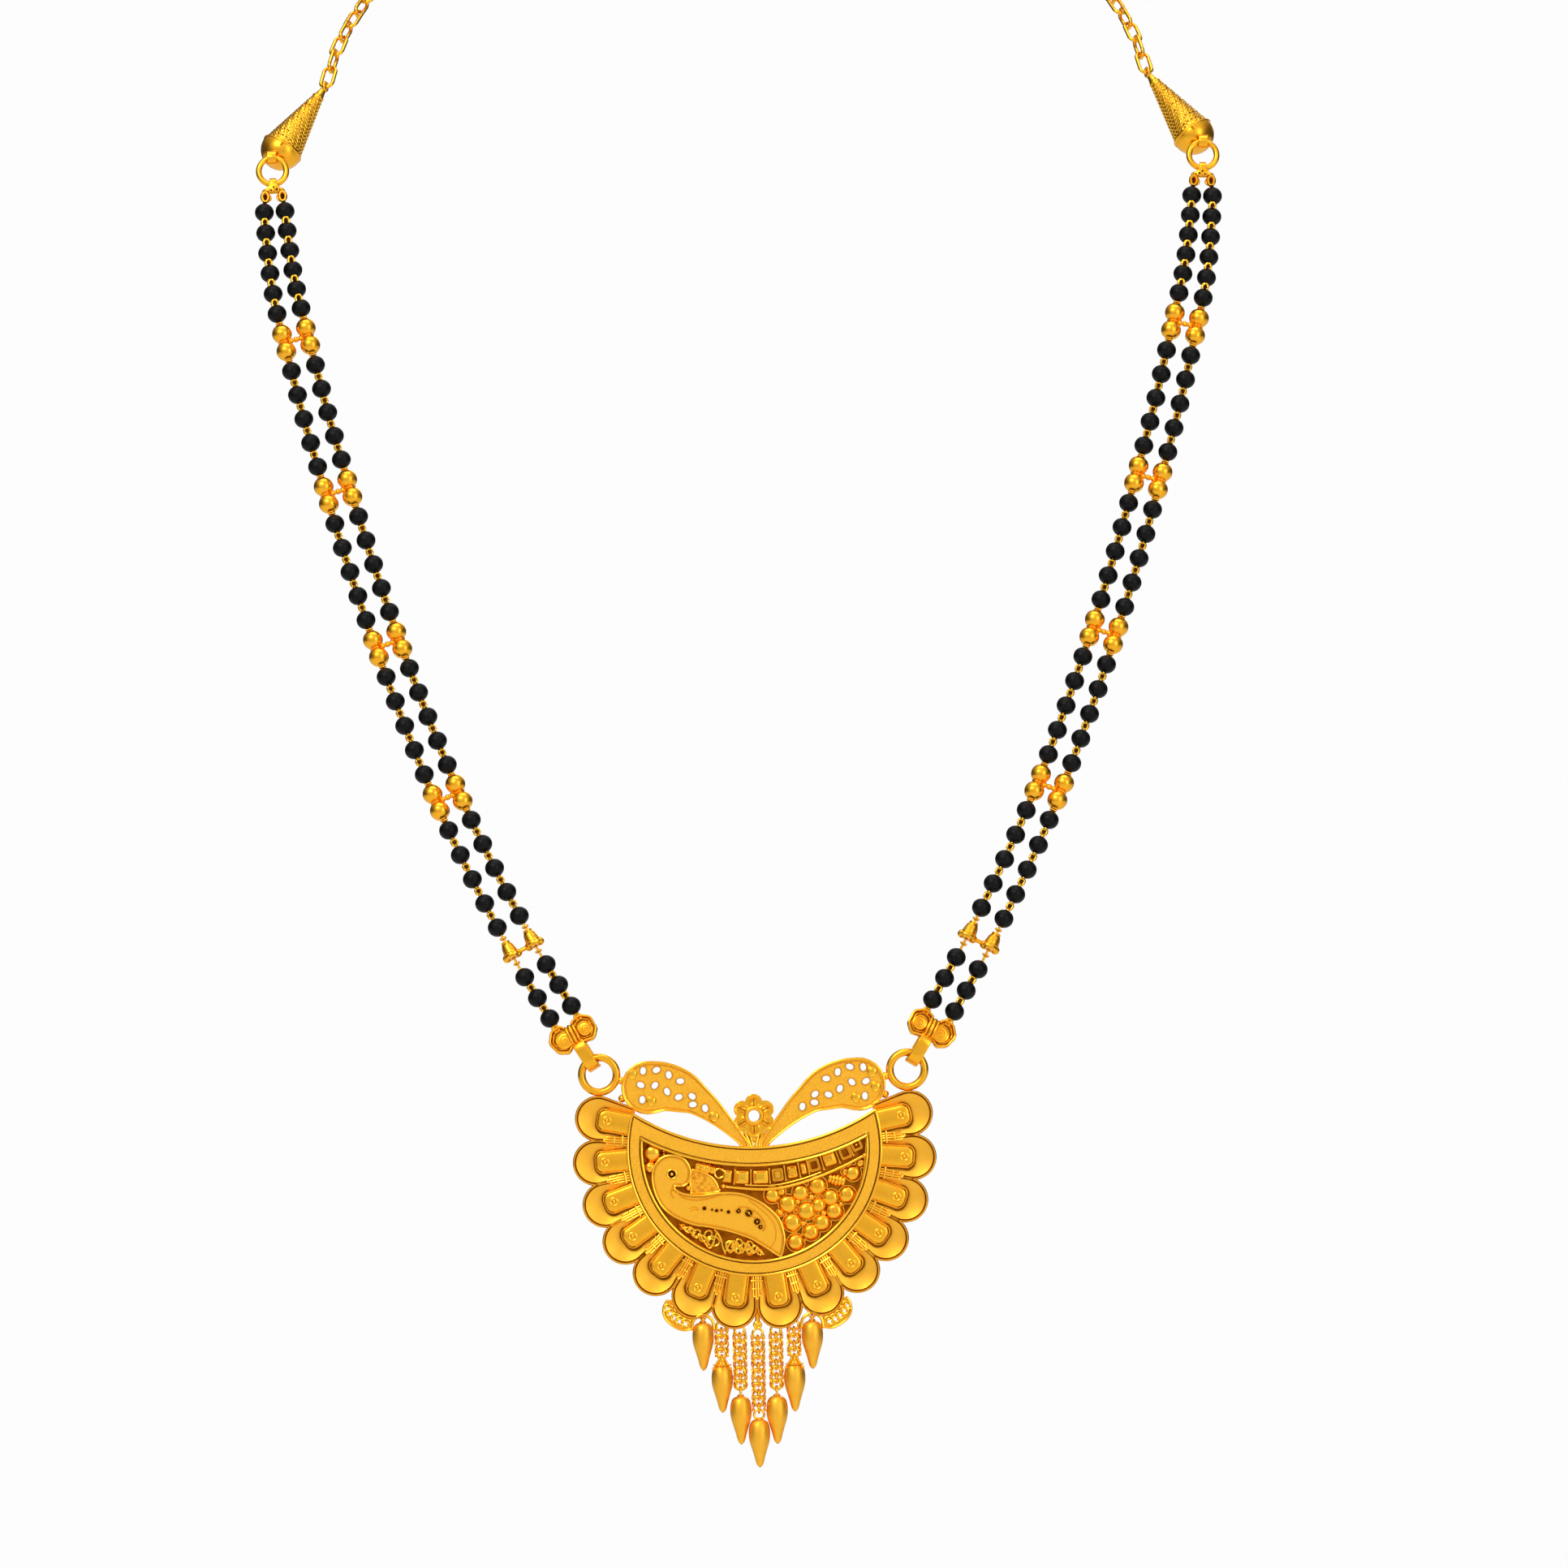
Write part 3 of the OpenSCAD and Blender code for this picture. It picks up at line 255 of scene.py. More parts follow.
class Shape:
    def __init__(self):
        self.points, self.faces, self.looks = [], [], []
        self.count = 0

    def add(self, part, look=0, m=None):
        points, faces = part if m is None else moved(part, m)
        self.points.append(np.asarray(points, float))
        self.faces += [tuple(int(i) + self.count for i in f) for f in faces]
        self.looks += [look] * len(faces)
        self.count += len(points)

    def balls(self, sides, places, m=None):
        """Balls in the first look, each given as (x, y, z, radius)."""
        for x, y, z, r in places:
            at = shift(x, y, z)
            self.add(ball(r, sides), 0, at if m is None else m @ at)

    def make(self, name, body, looks, stands_for=()):
        mesh = bpy.data.meshes.new(name)
        mesh.from_pydata((np.concatenate(self.points) * MM).tolist(), [], self.faces)
        for look in looks:
            mesh.materials.append(look)
        mesh.polygons.foreach_set("material_index", self.looks)
        mesh.validate()
        mesh.shade_smooth()
        mesh.set_sharp_from_angle(angle=SHARP_FROM)
        piece = bpy.data.objects.new(name, mesh)
        bpy.context.scene.collection.objects.link(piece)
        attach(piece, body)
        if stands_for:
            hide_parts(*stands_for)


def grid(rows, columns, round_row=True, closed=False):
    """The faces between rows of points. closed joins the last row to the first."""
    faces = []
    for i in range(rows if closed else rows - 1):
        a, b = i * columns, (i + 1) % rows * columns
        for j in range(columns if round_row else columns - 1):
            k = (j + 1) % columns
            faces.append((a + j, a + k, b + k, b + j))
    return faces


def sleeve(rows, columns, closed):
    """The faces of sections set one after another along a path, with an end face on each open end."""
    faces = [(a, d, c, b) for a, b, c, d in grid(rows, columns, closed=closed)]
    if not closed:
        faces += [tuple(range(columns)), tuple((rows - 1) * columns + k for k in reversed(range(columns)))]
    return faces


def tube(path, radius, sides=8, closed=False, up=None, squash=1.0):
    """A wire along a path, with round ends. squash flattens it along up or its own second direction."""
    path = np.asarray(path, float)
    size = np.full(len(path), float(radius))
    if not closed:
        first, last = unit(path[0] - path[1]), unit(path[-1] - path[-2])
        swell = (0.34, 0.7, 0.94)
        path = np.concatenate([[path[0] + first * radius * a for a in swell[::-1]], path,
                               [path[-1] + last * radius * a for a in swell]])
        size = np.concatenate([[radius * b for b in swell], size, [radius * b for b in swell[::-1]]])
    n = len(path)
    way = np.roll(path, -1, 0) - np.roll(path, 1, 0) if closed else np.gradient(path, axis=0)
    way /= np.linalg.norm(way, axis=1)[:, None]
    side = np.zeros_like(path)
    if up is not None:
        side = np.cross(way, np.asarray(up, float))
        side /= np.maximum(np.linalg.norm(side, axis=1), 1e-9)[:, None]
    else:
        side[0] = unit(np.cross(way[0], UP if abs(way[0][2]) < 0.9 else (1, 0, 0)))
        for i in range(1, n):
            side[i] = unit(side[i - 1] - way[i] * np.dot(side[i - 1], way[i]))
        if closed:
            s = side[-1] - way[0] * np.dot(side[-1], way[0])
            twist = math.atan2(np.dot(np.cross(side[0], s), way[0]), np.dot(side[0], s))
            for i in range(n):
                a = -twist * i / n
                side[i] = side[i] * math.cos(a) + np.cross(way[i], side[i]) * math.sin(a)
    other = np.cross(side, way)
    angles = full_turn(sides)
    points = (path[:, None, :] + size[:, None, None] * (
        np.cos(angles)[None, :, None] * side[:, None, :]
        + squash * np.sin(angles)[None, :, None] * other[:, None, :])).reshape(-1, 3)
    return points, sleeve(n, sides, closed)


def wire(path, z, r, sides=8, squash=1.0):
    """An open wire along a flat path at one height."""
    return tube(lifted(path, z), r, sides, up=UP, squash=squash)


def rim(outline, z, r, sides=6, squash=1.0):
    """A closed wire on a flat outline at one height."""
    return tube(lifted(outline, z), r, sides, closed=True, up=UP, squash=squash)


def lathe(profile, sides=32):
    """Turns a list of (radius, height) about Z. It starts and ends on the axis or stays open."""
    points, rings = [], []
    for r, z in profile:
        if r < 1e-6:
            rings.append([len(points)])
            points.append((0, 0, z))
        else:
            rings.append(list(range(len(points), len(points) + sides)))
            points += [(r * math.cos(a), r * math.sin(a), z) for a in full_turn(sides)]
    faces = []
    for low, high in zip(rings, rings[1:]):
        for k in range(sides):
            j = (k + 1) % sides
            if len(low) == 1:
                faces.append((low[0], high[j], high[k]))
            elif len(high) == 1:
                faces.append((low[k], low[j], high[0]))
            else:
                faces.append((low[k], low[j], high[j], high[k]))
    return np.array(points, float), faces


def arc(r, start, end, steps, centre=(0, 0)):
    return [(centre[0] + r * math.cos(a), centre[1] + r * math.sin(a))
            for a in np.radians(np.linspace(start, end, steps))]


def ball(r, sides=16):
    return lathe([(0, -r)] + arc(r, -90, 90, sides // 2 + 1)[1:-1] + [(0, r)], sides)


def pebble(rx, ry, rz, sides=12):
    return moved(ball(1.0, sides), np.diag([rx, ry, rz, 1.0]))


def ring(middle_r, wire_r, steps=32, sides=8):
    return rim(circle(0, 0, middle_r, steps), 0, wire_r, sides)


def plate(outline, holes, low, high):
    """A flat sheet with holes between two heights."""
    loops = [np.asarray(loop, float) for loop in [outline] + holes]
    loops = [loop if (area(loop) > 0) == (k == 0) else loop[::-1] for k, loop in enumerate(loops)]
    flat, edges, start = [], [], 0
    for loop in loops:
        flat += [Vector(p) for p in loop]
        edges += [(start + i, start + (i + 1) % len(loop)) for i in range(len(loop))]
        start += len(loop)
    out = geometry.delaunay_2d_cdt(flat, edges, [], 1, 1e-5)
    points2, triangles = np.array([tuple(p) for p in out[0]]), np.array([tuple(f) for f in out[2]])
    middles = points2[triangles].mean(1)
    keep = within(middles, loops[0])
    for hole in loops[1:]:
        keep &= ~within(middles, hole)
    triangles = [tuple(int(i) for i in f) for f in triangles[keep]]
    n = len(points2)
    points = np.concatenate([np.c_[points2, np.full(n, high)], np.c_[points2, np.full(n, low)]])
    faces = triangles + [tuple(i + n for i in reversed(f)) for f in triangles]
    uses = dict.fromkeys(edge for f in triangles for edge in zip(f, f[1:] + f[:1]))
    faces += [(a + n, b + n, b, a) for a, b in uses if (b, a) not in uses]
    return points, faces


def within(points, loop):
    """Which points lie inside a closed loop, by counting crossings."""
    inside = np.zeros(len(points), bool)
    for (x1, y1), (x2, y2) in zip(loop, np.roll(loop, -1, 0)):
        if y1 != y2:
            crosses = (points[:, 1] > min(y1, y2)) & (points[:, 1] <= max(y1, y2))
            inside ^= crosses & (points[:, 0] < x1 + (points[:, 1] - y1) * (x2 - x1) / (y2 - y1))
    return inside


def area(loop):
    x, y = loop[:, 0], loop[:, 1]
    return 0.5 * float(np.sum(x * np.roll(y, -1) - np.roll(x, -1) * y))


def pillow(outline, spine, profile, closed=True):
    """Rings between an outline and its spine: profile lists (share of the way out, height)."""
    outline = np.asarray(outline, float)
    spine = np.zeros_like(outline) if spine is None else np.asarray(spine, float)
    points = np.concatenate([lifted(spine + s * (outline - spine), z) for s, z in profile])
    return points, grid(len(profile), len(outline), closed)


def circle(x, y, r, steps=16, wobble=0.0):
    turns = full_turn(steps)
    bumps = 1 + wobble * np.sin(2 * turns + x * 7 + y * 3)
    return np.array([(x + r * b * math.cos(a), y + r * b * math.sin(a)) for a, b in zip(turns, bumps)])


def lifted(outline, z):
    outline = np.asarray(outline, float)
    return np.c_[outline, np.full(len(outline), float(z))]


def smooth(points, steps=8, closed=False):
    """A Catmull-Rom curve through the points, of any dimension."""
    p = np.asarray(points, float)
    last = len(p) - 1
    out = []
    for i in range(len(p) if closed else last):
        a, b, c, d = (p[(i + k) % len(p)] if closed else p[min(max(i + k, 0), last)] for k in (-1, 0, 1, 2))
        for t in np.arange(steps) / steps:
            out.append(0.5 * (2 * b + (c - a) * t + (2 * a - 5 * b + 4 * c - d) * t * t
                              + (3 * b - a - 3 * c + d) * t ** 3))
    if not closed:
        out.append(p[-1])
    return np.array(out)


def worm(circles, steps=6, cap=14):
    """Outline round a smooth chain of circles (x, y, radius), and the middle of each of its points."""
    c = smooth(circles, steps)
    middle, r = c[:, :2], np.maximum(c[:, 2], 0.02)
    way = np.gradient(middle, axis=0)
    pace = np.linalg.norm(way, axis=1)
    way /= pace[:, None]
    lean = np.clip(np.gradient(r) / pace, -0.95, 0.95)
    side = np.c_[-way[:, 1], way[:, 0]] * np.sqrt(1 - lean ** 2)[:, None]
    left, right = -lean[:, None] * way + side, -lean[:, None] * way - side

    def fan(i, start, end):
        a, b = math.atan2(*start[::-1]), math.atan2(*end[::-1])
        if b > a:
            b -= 2 * math.pi
        return [(middle[i] + r[i] * np.array([math.cos(t), math.sin(t)]), middle[i])
                for t in np.linspace(a, b, cap)[1:-1]]

    out = [(middle[i] + r[i] * left[i], middle[i]) for i in range(len(c))]
    out += fan(len(c) - 1, left[-1], right[-1])
    out += [(middle[i] + r[i] * right[i], middle[i]) for i in reversed(range(len(c)))]
    out += fan(0, right[0], left[0])
    return np.array([p for p, _ in out])[::-1], np.array([q for _, q in out])[::-1]


# Pendant, drawn flat with its back at 0 and then stood up

FRAME_R, BAND_W, SMILE_R, SMILE_W, SMILE_Y = 20.5, 2.6, 35.5, 3.2, 35.8
FRAME_T, PLATE_T, RIM = 2.4, 0.6, 0.2
STAND = np.array([[1, 0, 0, 0], [0, 0, -1, -104.1], [0, 1, 0, -204.192], [0, 0, 0, 1]], float)


def standing(shape, name, looks, stands_for=("pendant",)):
    shape.points = [moved((p, []), STAND)[0] for p in shape.points]
    shape.make(name, "pendant", looks, stands_for)


def crescent(round_in, smile_in, pitch=0.35):
    r, s = FRAME_R - round_in, SMILE_R + smile_in
    y = (r * r - s * s + SMILE_Y ** 2) / (2 * SMILE_Y)
    x = math.sqrt(r * r - y * y)
    right, top = math.degrees(math.atan2(y, x)), math.degrees(math.atan2(y - SMILE_Y, x))
    low = arc(r, right, -180 - right, int(r * math.radians(180 + 2 * right) / pitch))
    high = arc(s, -180 - top, top, int(s * math.radians(180 + 2 * top) / pitch), (0, SMILE_Y))
    return np.array(low + high[1:-1])[::-1]


def frame_band():
    s = Shape()
    s.add(plate(crescent(0.15, 0.15), [crescent(BAND_W - 0.15, SMILE_W - 0.15)], 0.05, FRAME_T), 1)
    for outline in (crescent(RIM, RIM), crescent(BAND_W - RIM, SMILE_W - RIM)):
        s.add(rim(outline, FRAME_T, RIM + 0.02, 8))
        s.add(pillow(outline, outline, [(1, 0.0), (1, FRAME_T)]))
    # Dark grooves inside the two rims, painted shade
    groove = RIM + 0.3
    for outline in (crescent(groove, groove), crescent(BAND_W - groove, SMILE_W - groove - 0.04)):
        s.add(rim(outline, FRAME_T, 0.075), 2)
    standing(s, "pendant_band", [polished, frosted, painted_shade_brown], ())
    # The back plate is in darker gold, painted shade behind the open front
    back = Shape()
    back.add(plate(crescent(BAND_W / 2, SMILE_W / 2), [], 0.1, PLATE_T))
    standing(back, "pendant_back_plate", [painted_shade_and_reflection])


PETALS, PETAL_ARC, PETAL_R, PETAL_REACH, PETAL_BACK, PETAL_T = 14, 203.6, 3.6, 5.0, 0.3, 1.7
PETAL_ROOT, TONGUE_ROOT = 19.9, 20.1
TONGUE_HALF, TONGUE_CORNER, TONGUE_END = 1.9, 1.35, FRAME_R + 5.2
DOT_X = FRAME_R + 3.55


def petal_angle(i):
    return 270 - PETAL_ARC / 2 + i * PETAL_ARC / (PETALS - 1)


def strap_outline(root_x, root_half, tip, middle_x):
    """Outline of a strip from a straight root to the tip given, with the middle of each of its points."""
    low = np.linspace((root_x, -root_half), tip[0], 8)[:-1]
    high = np.linspace(tip[-1], (root_x, root_half), 8)[1:]
    outline = np.concatenate([low, tip, high])
    return outline, np.c_[np.clip(outline[:, 0], root_x, middle_x), np.zeros(len(outline))]


def petals():
    end_x, root_half = FRAME_R + PETAL_REACH, 2.7
    lean = math.degrees(math.asin((PETAL_R - root_half) / (end_x - PETAL_ROOT)))
    tip = np.array(arc(PETAL_R, -90 - lean, 90 + lean, 40, (end_x, 0)))
    outline, middle = strap_outline(PETAL_ROOT, root_half, tip, end_x)
    reach, half = TONGUE_END - TONGUE_CORNER, TONGUE_HALF - TONGUE_CORNER
    tip = arc(TONGUE_CORNER, -90, 0, 12, (reach, -half)) + arc(TONGUE_CORNER, 0, 90, 12, (reach, half))
    tongue, tongue_middle = strap_outline(TONGUE_ROOT, TONGUE_HALF, tip, reach)
    bowl, lugs, wires = Shape(), Shape(), Shape()
    dish = [(0.0, PETAL_BACK), (0.97, PETAL_BACK), (1.0, PETAL_BACK + 0.12), (1.0, PETAL_T - 0.08)]
    dish += [(0.985, PETAL_T), (0.955, PETAL_T), (0.94, PETAL_T - 0.1)]
    dish += [(s, 0.8 + 0.75 * s * s) for s in (0.91, 0.86, 0.8, 0.72, 0.62, 0.5, 0.36, 0.2, 0.0)]
    # A painted shadow under the tongue's end: a dark plate a little wider than the tongue there, which fades
    # out along its sides
    fade = np.clip((tongue[:, :1] - 23.2) / 1.4, 0, 1)
    hollow = tongue_middle + (tongue - tongue_middle) * (1 + 0.12 * fade)
    bend = slice(9, -9)
    lug = [
        (1.0, 0.9), (1.0, 1.6), (0.98, 1.78), (0.94, 1.88), (0.89, 1.9), (0.86, 1.84), (0.835, 1.84),
        (0.82, 1.92), (0.79, 2.06), (0.73, 2.14), (0.6, 2.2), (0.4, 2.25), (0.2, 2.28), (0.0, 2.29)]
    for i in range(PETALS):
        turn = turn_z(petal_angle(i) + rng.uniform(-0.5, 0.5))
        bowl.add(pillow(outline, middle, dish, closed=False), 0, turn)
        # A dark line inside the rim, painted shade
        bowl.add(wire(middle + 0.9 * (outline - middle), 1.52, 0.085, 6), 2, turn)
        # A dark wire below the rim, painted shade where the petals meet and over their open edges
        bowl.add(wire(outline, 1.1, 0.1, 6), 2, turn)
        bowl.add(wire(middle + 0.975 * (outline - middle), PETAL_T, 0.14, 6), 1, turn)
        lugs.add(pillow(tongue, tongue_middle, lug, closed=False), 0, turn)
        shade = [(1.0, 1.32), (0.8, 1.42)]
        # Moved a little down and to the right, so the painted shadow falls below the tongue's end
        lugs.add(pillow(hollow, tongue_middle, shade, closed=False), 2, shift(0.03, -0.1) @ turn)
        # A dark line just inside the tongue's end, painted shade
        crease = [(0.895, 1.93), (0.825, 1.95)]
        lugs.add(pillow(tongue[bend], tongue_middle[bend], crease, closed=False), 2, turn)
        dot = turn @ shift(DOT_X, 0, 2.25)
        lugs.add(ring(0.6, 0.12, 28, 8), 1, dot)
        lugs.add(ball(0.36, 14), 1, dot @ shift(0, 0, 0.06))
    # Three hairpins between each two petals, held by two cross wires on a small plate
    for i in range(PETALS - 1):
        turn = turn_z((petal_angle(i) + petal_angle(i + 1)) / 2)
        for y, reach, z in ((-0.42, 3.1, 1.75), (0.42, 3.0, 1.75), (0.0, 3.5, 1.95)):
            knee = FRAME_R + reach * 0.6
            path = [(PETAL_ROOT, y - 0.17), (knee, y - 0.18)]
            path += arc(0.17, -90, 90, 5, (FRAME_R + reach, y)) + [(knee, y + 0.18), (PETAL_ROOT, y + 0.17)]
            wires.add(wire(path, z, 0.17), 0, turn)
        for x, half, z, r in ((0.7, 0.85, 2.1, 0.2), (2.0, 0.66, 2.0, 0.15)):
            wires.add(tube([(FRAME_R + x, -half, z), (FRAME_R + x, half, z)], r), 0, turn)
        far = FRAME_R + 2.6
        bed = [(PETAL_ROOT, -0.75), (far, -0.5), (far, 0.5), (PETAL_ROOT, 0.75)]
        # The plate is in darker gold, painted shade under the hairpins
        wires.add(plate(bed, [], 0.5, 1.2), 1, turn)
    standing(bowl, "pendant_petals", [soft, polished, painted_shade_brown])
    standing(lugs, "pendant_tongues", [satin, polished, painted_shade_brown])
    standing(wires, "pendant_hairpins", [polished, painted_shade_and_reflection])


WING = np.array([
    [0.824, 0.488, 0.209], [0.702, 0.493, 0.19], [0.576, 0.459, 0.166], [0.463, 0.4, 0.122],
    [0.356, 0.322, 0.093], [0.259, 0.234, 0.066], [0.185, 0.159, 0.049], [0.105, 0.071, 0.032],
    [0.05, 0.0, 0.03]]) * FRAME_R
WING_HOLES = np.array([
    [0.86, 0.62], [0.755, 0.625], [0.66, 0.585], [0.57, 0.535], [0.88, 0.51], [0.77, 0.505],
    [0.675, 0.455], [0.585, 0.41], [0.87, 0.395], [0.48, 0.415], [0.38, 0.32], [0.475, 0.35]]) * FRAME_R
WING_BOSSES = {
    -1: [(0.8, 0.385), (0.945, 0.6), (0.31, 0.255)], 1: [(0.955, 0.47), (0.8, 0.385), (0.93, 0.585)]}
HOLE_R, HOLE_WOBBLE = 0.6, 0.12
RING_X, RING_Y, RING_MID_R, RING_WIRE_R = 24.675, 12.192, 2.78, 0.62


def wings():
    outline, middle = worm(WING)
    boss = [(0.85, 0), (0.82, 0.16), (0.72, 0.22), (0.62, 0.14), (0.45, 0.2), (0.2, 0.25), (0, 0.26)]
    edge = [(0.93, 0.4), (1.0, 0.4), (1.0, 1.55), (0.97, 1.62), (0.93, 1.62), (0.9, 1.55), (0.9, 1.38)]
    s, rings = Shape(), Shape()
    for side in (-1, 1):
        flip = mirror(side)
        holes = [circle(x, y, HOLE_R, 14, HOLE_WOBBLE) for x, y in WING_HOLES]
        s.add(plate(middle + 0.96 * (outline - middle), holes, 0.45, 1.4), 1, flip)
        s.add(pillow(outline, middle, edge), 0, flip)
        s.add(rim(middle + 0.965 * (outline - middle), 1.6, 0.17, 8), 0, flip)
        s.add(rim(middle + 0.85 * (outline - middle), 1.42, 0.08), 0, flip)
        for (x, y), hole in zip(WING_HOLES, holes):
            s.add(rim(circle(x, y, HOLE_R + 0.06, 16, HOLE_WOBBLE), 1.42, 0.12), 0, flip)
            # The holes' walls in darker gold, painted shade inside the holes
            s.add(pillow(hole, hole, [(1, 1.4), (1, 0.45)]), 2, flip)
        for x, y in WING_BOSSES[side]:
            s.add(lathe(boss, 20), 0, flip @ shift(x * FRAME_R, y * FRAME_R, 1.38))
        for angle in (15.7, -22.0):
            x, y = WING[0][:2] + polar(angle, WING[0][2] + 0.2)
            s.add(ball(0.65, 14), 0, flip @ shift(x, y, 0.9))
        rings.add(ring(RING_MID_R, RING_WIRE_R, 72, 20), 0, shift(side * RING_X, RING_Y, 0.9))
    standing(s, "pendant_wings", [polished, frosted, painted_shade_and_reflection])
    standing(rings, "pendant_rings", [satin])


FLOWER_Y, LOBE_X, LOBE_R = 5.2, 2.1, 1.4


def flower():
    s = Shape()
    sides = 132
    angles = full_turn(sides)
    # Six lobes: the edge of circles whose middles lie round the flower's middle
    near = (angles - math.radians(30) + math.pi / 6) % (math.pi / 3) - math.pi / 6
    edge = LOBE_X * np.cos(near) + np.sqrt(np.maximum(LOBE_R ** 2 - (LOBE_X * np.sin(near)) ** 2, 0.0))
    lobe = np.clip(np.cos(3 * near), 0, 1)
    rows = [(edge, np.full(sides, 0.9)), (edge, np.full(sides, 1.75))]
    for share in (0.96, 0.9, 0.82, 0.74, 0.66, 0.58, 0.52):
        cup = min(((share - 0.76) / 0.24) ** 2, 1.0)
        rows.append((edge * share, 1.86 - 0.22 * (1 - cup) * lobe - 0.2 * (1 - lobe) ** 2))
    core = [(1.62, 1.86), (1.6, 2.1), (1.5, 2.28), (1.36, 2.36), (1.18, 2.38), (1.02, 2.32), (0.93, 2.16),
            (0.9, 1.9), (0.9, 0.95)]
    rows += [(r, np.full(sides, z)) for r, z in core]
    points = np.concatenate([np.c_[r * np.cos(angles), r * np.sin(angles), z] for r, z in rows])
    s.add((points, grid(len(rows), sides, closed=True)), 1, shift(0, FLOWER_Y))
    rib = [(-0.62, 0.0, 1.9), (-0.2, 0.0, 1.84), (0.35, 0.0, 1.82)]
    brim = [(-0.5, -0.55, 1.92), (0.1, -0.5, 1.84), (0.45, -0.3, 1.8), (0.62, 0.0, 1.78)]
    brim += [(x, -y, z) for x, y, z in brim[-2::-1]]
    for a in range(30, 390, 60):
        at = shift(0, FLOWER_Y) @ turn_z(a) @ shift(2.25, 0)
        # Dark ribs between the lobes, painted shade in the creases
        s.add(tube(smooth(rib, 4), 0.09, 6), 2, at)
        s.add(tube(smooth(brim, 4), 0.1, 6, up=UP), 1, at)
    for side in (-1, 1):
        for x0, x1, r in ((0.25, 0.85, 0.24), (0.7, 1.55, 0.24), (1.05, 2.1, 0.18)):
            stem = [(x0, -0.2, 1.6), (x0 + 0.05, 0.7, 1.55), ((x0 + x1) / 2, 1.7, 1.45), (x1, 2.8, 1.4)]
            s.add(tube(smooth([(side * x, y, z) for x, y, z in stem]), r, 8, up=UP))
        # Plates in darker gold behind the stems, painted shade
        bed = [(0.1, -0.4), (1.3, -0.4), (1.7, 2.6), (0.5, 2.6)]
        s.add(plate([(side * x, y) for x, y in bed], [], 0.55, 1.3), 2)
    s.add(ball(0.42, 12), 0, shift(0, 1.35, 1.5))
    standing(s, "pendant_flower", [polished, satin, painted_shade_and_reflection])


# The peacock's outline: up round the head, down the back of the neck and along the belly to the
# tail, then back over the tail and the back to the notch under the head
PEACOCK = [
    (-12.8, -5.95), (-12.09, -5.93), (-11.31, -5.88), (-10.61, -5.23), (-10.22, -3.93), (-10.4, -2.63),
    (-11.13, -1.51), (-12.22, -0.94), (-13.39, -0.75), (-14.69, -1.01), (-15.73, -1.85), (-16.43, -3.15),
    (-16.59, -4.58), (-16.43, -5.88), (-15.91, -7.57), (-14.82, -9.39), (-13.0, -10.82), (-10.14, -12.06),
    (-7.02, -12.63), (-3.64, -13.47), (-0.78, -14.56), (1.56, -16.02), (3.45, -17.3), (4.05, -17.35),
    (4.47, -16.15), (4.68, -14.59), (4.42, -12.9), (3.77, -11.21), (2.34, -9.65), (0.52, -8.29),
    (-1.56, -7.31), (-3.64, -6.92), (-6.24, -6.97), (-8.32, -7.23), (-10.4, -7.18), (-11.83, -6.79),
    (-12.7, -6.25)]
PEACOCK_TOP = 2.15
EYE = (-13.3, -3.9)
HOLES = [(-8.19, -9.46, 0.3), (-6.95, -9.7, 0.17), (-6.24, -9.85, 0.25), (-5.45, -9.8, 0.17),
         (-4.35, -10.1, 0.27)]
CURLS = [(-2.75, -9.95, 0.4), (-1.1, -10.35, 0.58), (0.2, -11.75, 0.5), (0.75, -12.6, 0.36)]
ENGRAVED = [
    (0.13, [(-3.3, -10.0), (-2.6, -9.35), (-1.6, -9.35), (-0.5, -9.8), (0.5, -10.6), (1.3, -11.7),
            (1.5, -12.6), (1.15, -13.3)]),
    (0.1, [(-1.6, -9.8), (-0.6, -10.9), (0.1, -11.1), (0.8, -11.6), (1.1, -12.4)]),
    (0.11, [(-12.75, -6.2), (-12.17, -7.18), (-11.18, -7.88), (-9.36, -8.14), (-7.28, -7.88), (-5.72, -7.4),
            (-4.1, -7.15)]),
    (0.16, [(-12.87, -5.93), (-13.39, -6.34), (-13.49, -7.05), (-13.13, -7.64)]),
    (0.08, [(-1.04, -8.35), (1.04, -9.95), (2.6, -11.6), (3.2, -13.2), (3.0, -14.9), (2.2, -15.9)]),
    (0.07, [(-10.6, -9.5), (-9.9, -9.2), (-9.2, -9.4)]), (0.07, [(-10.4, -9.9), (-9.7, -9.6), (-9.1, -9.8)])]
SHELL = [(-10.14, -3.28), (-9.23, -3.33), (-8.32, -3.59), (-7.28, -4.13), (-6.5, -4.84), (-5.93, -5.88),
         (-5.72, -6.86), (-7.8, -7.1), (-10.14, -7.1), (-10.4, -6.4), (-10.5, -5.0)]
SHELL_GRAINS = [
    (-9.62, -4.58), (-8.84, -4.71), (-8.06, -5.0), (-7.41, -5.5), (-6.89, -6.3), (-9.36, -5.36),
    (-8.58, -5.5), (-7.93, -6.0), (-9.1, -6.1), (-9.75, -6.6), (-8.5, -6.6), (-7.3, -6.7), (-8.9, -4.1),
    (-9.8, -3.9), (-8.0, -4.3)]


def inward(loop, by):
    """A closed loop moved inward by a distance, anticlockwise."""
    loop = np.asarray(loop, float)
    if area(loop) < 0:
        loop = loop[::-1]
    way = np.roll(loop, -1, 0) - np.roll(loop, 1, 0)
    way /= np.linalg.norm(way, axis=1)[:, None]
    return loop + by * np.c_[-way[:, 1], way[:, 0]]


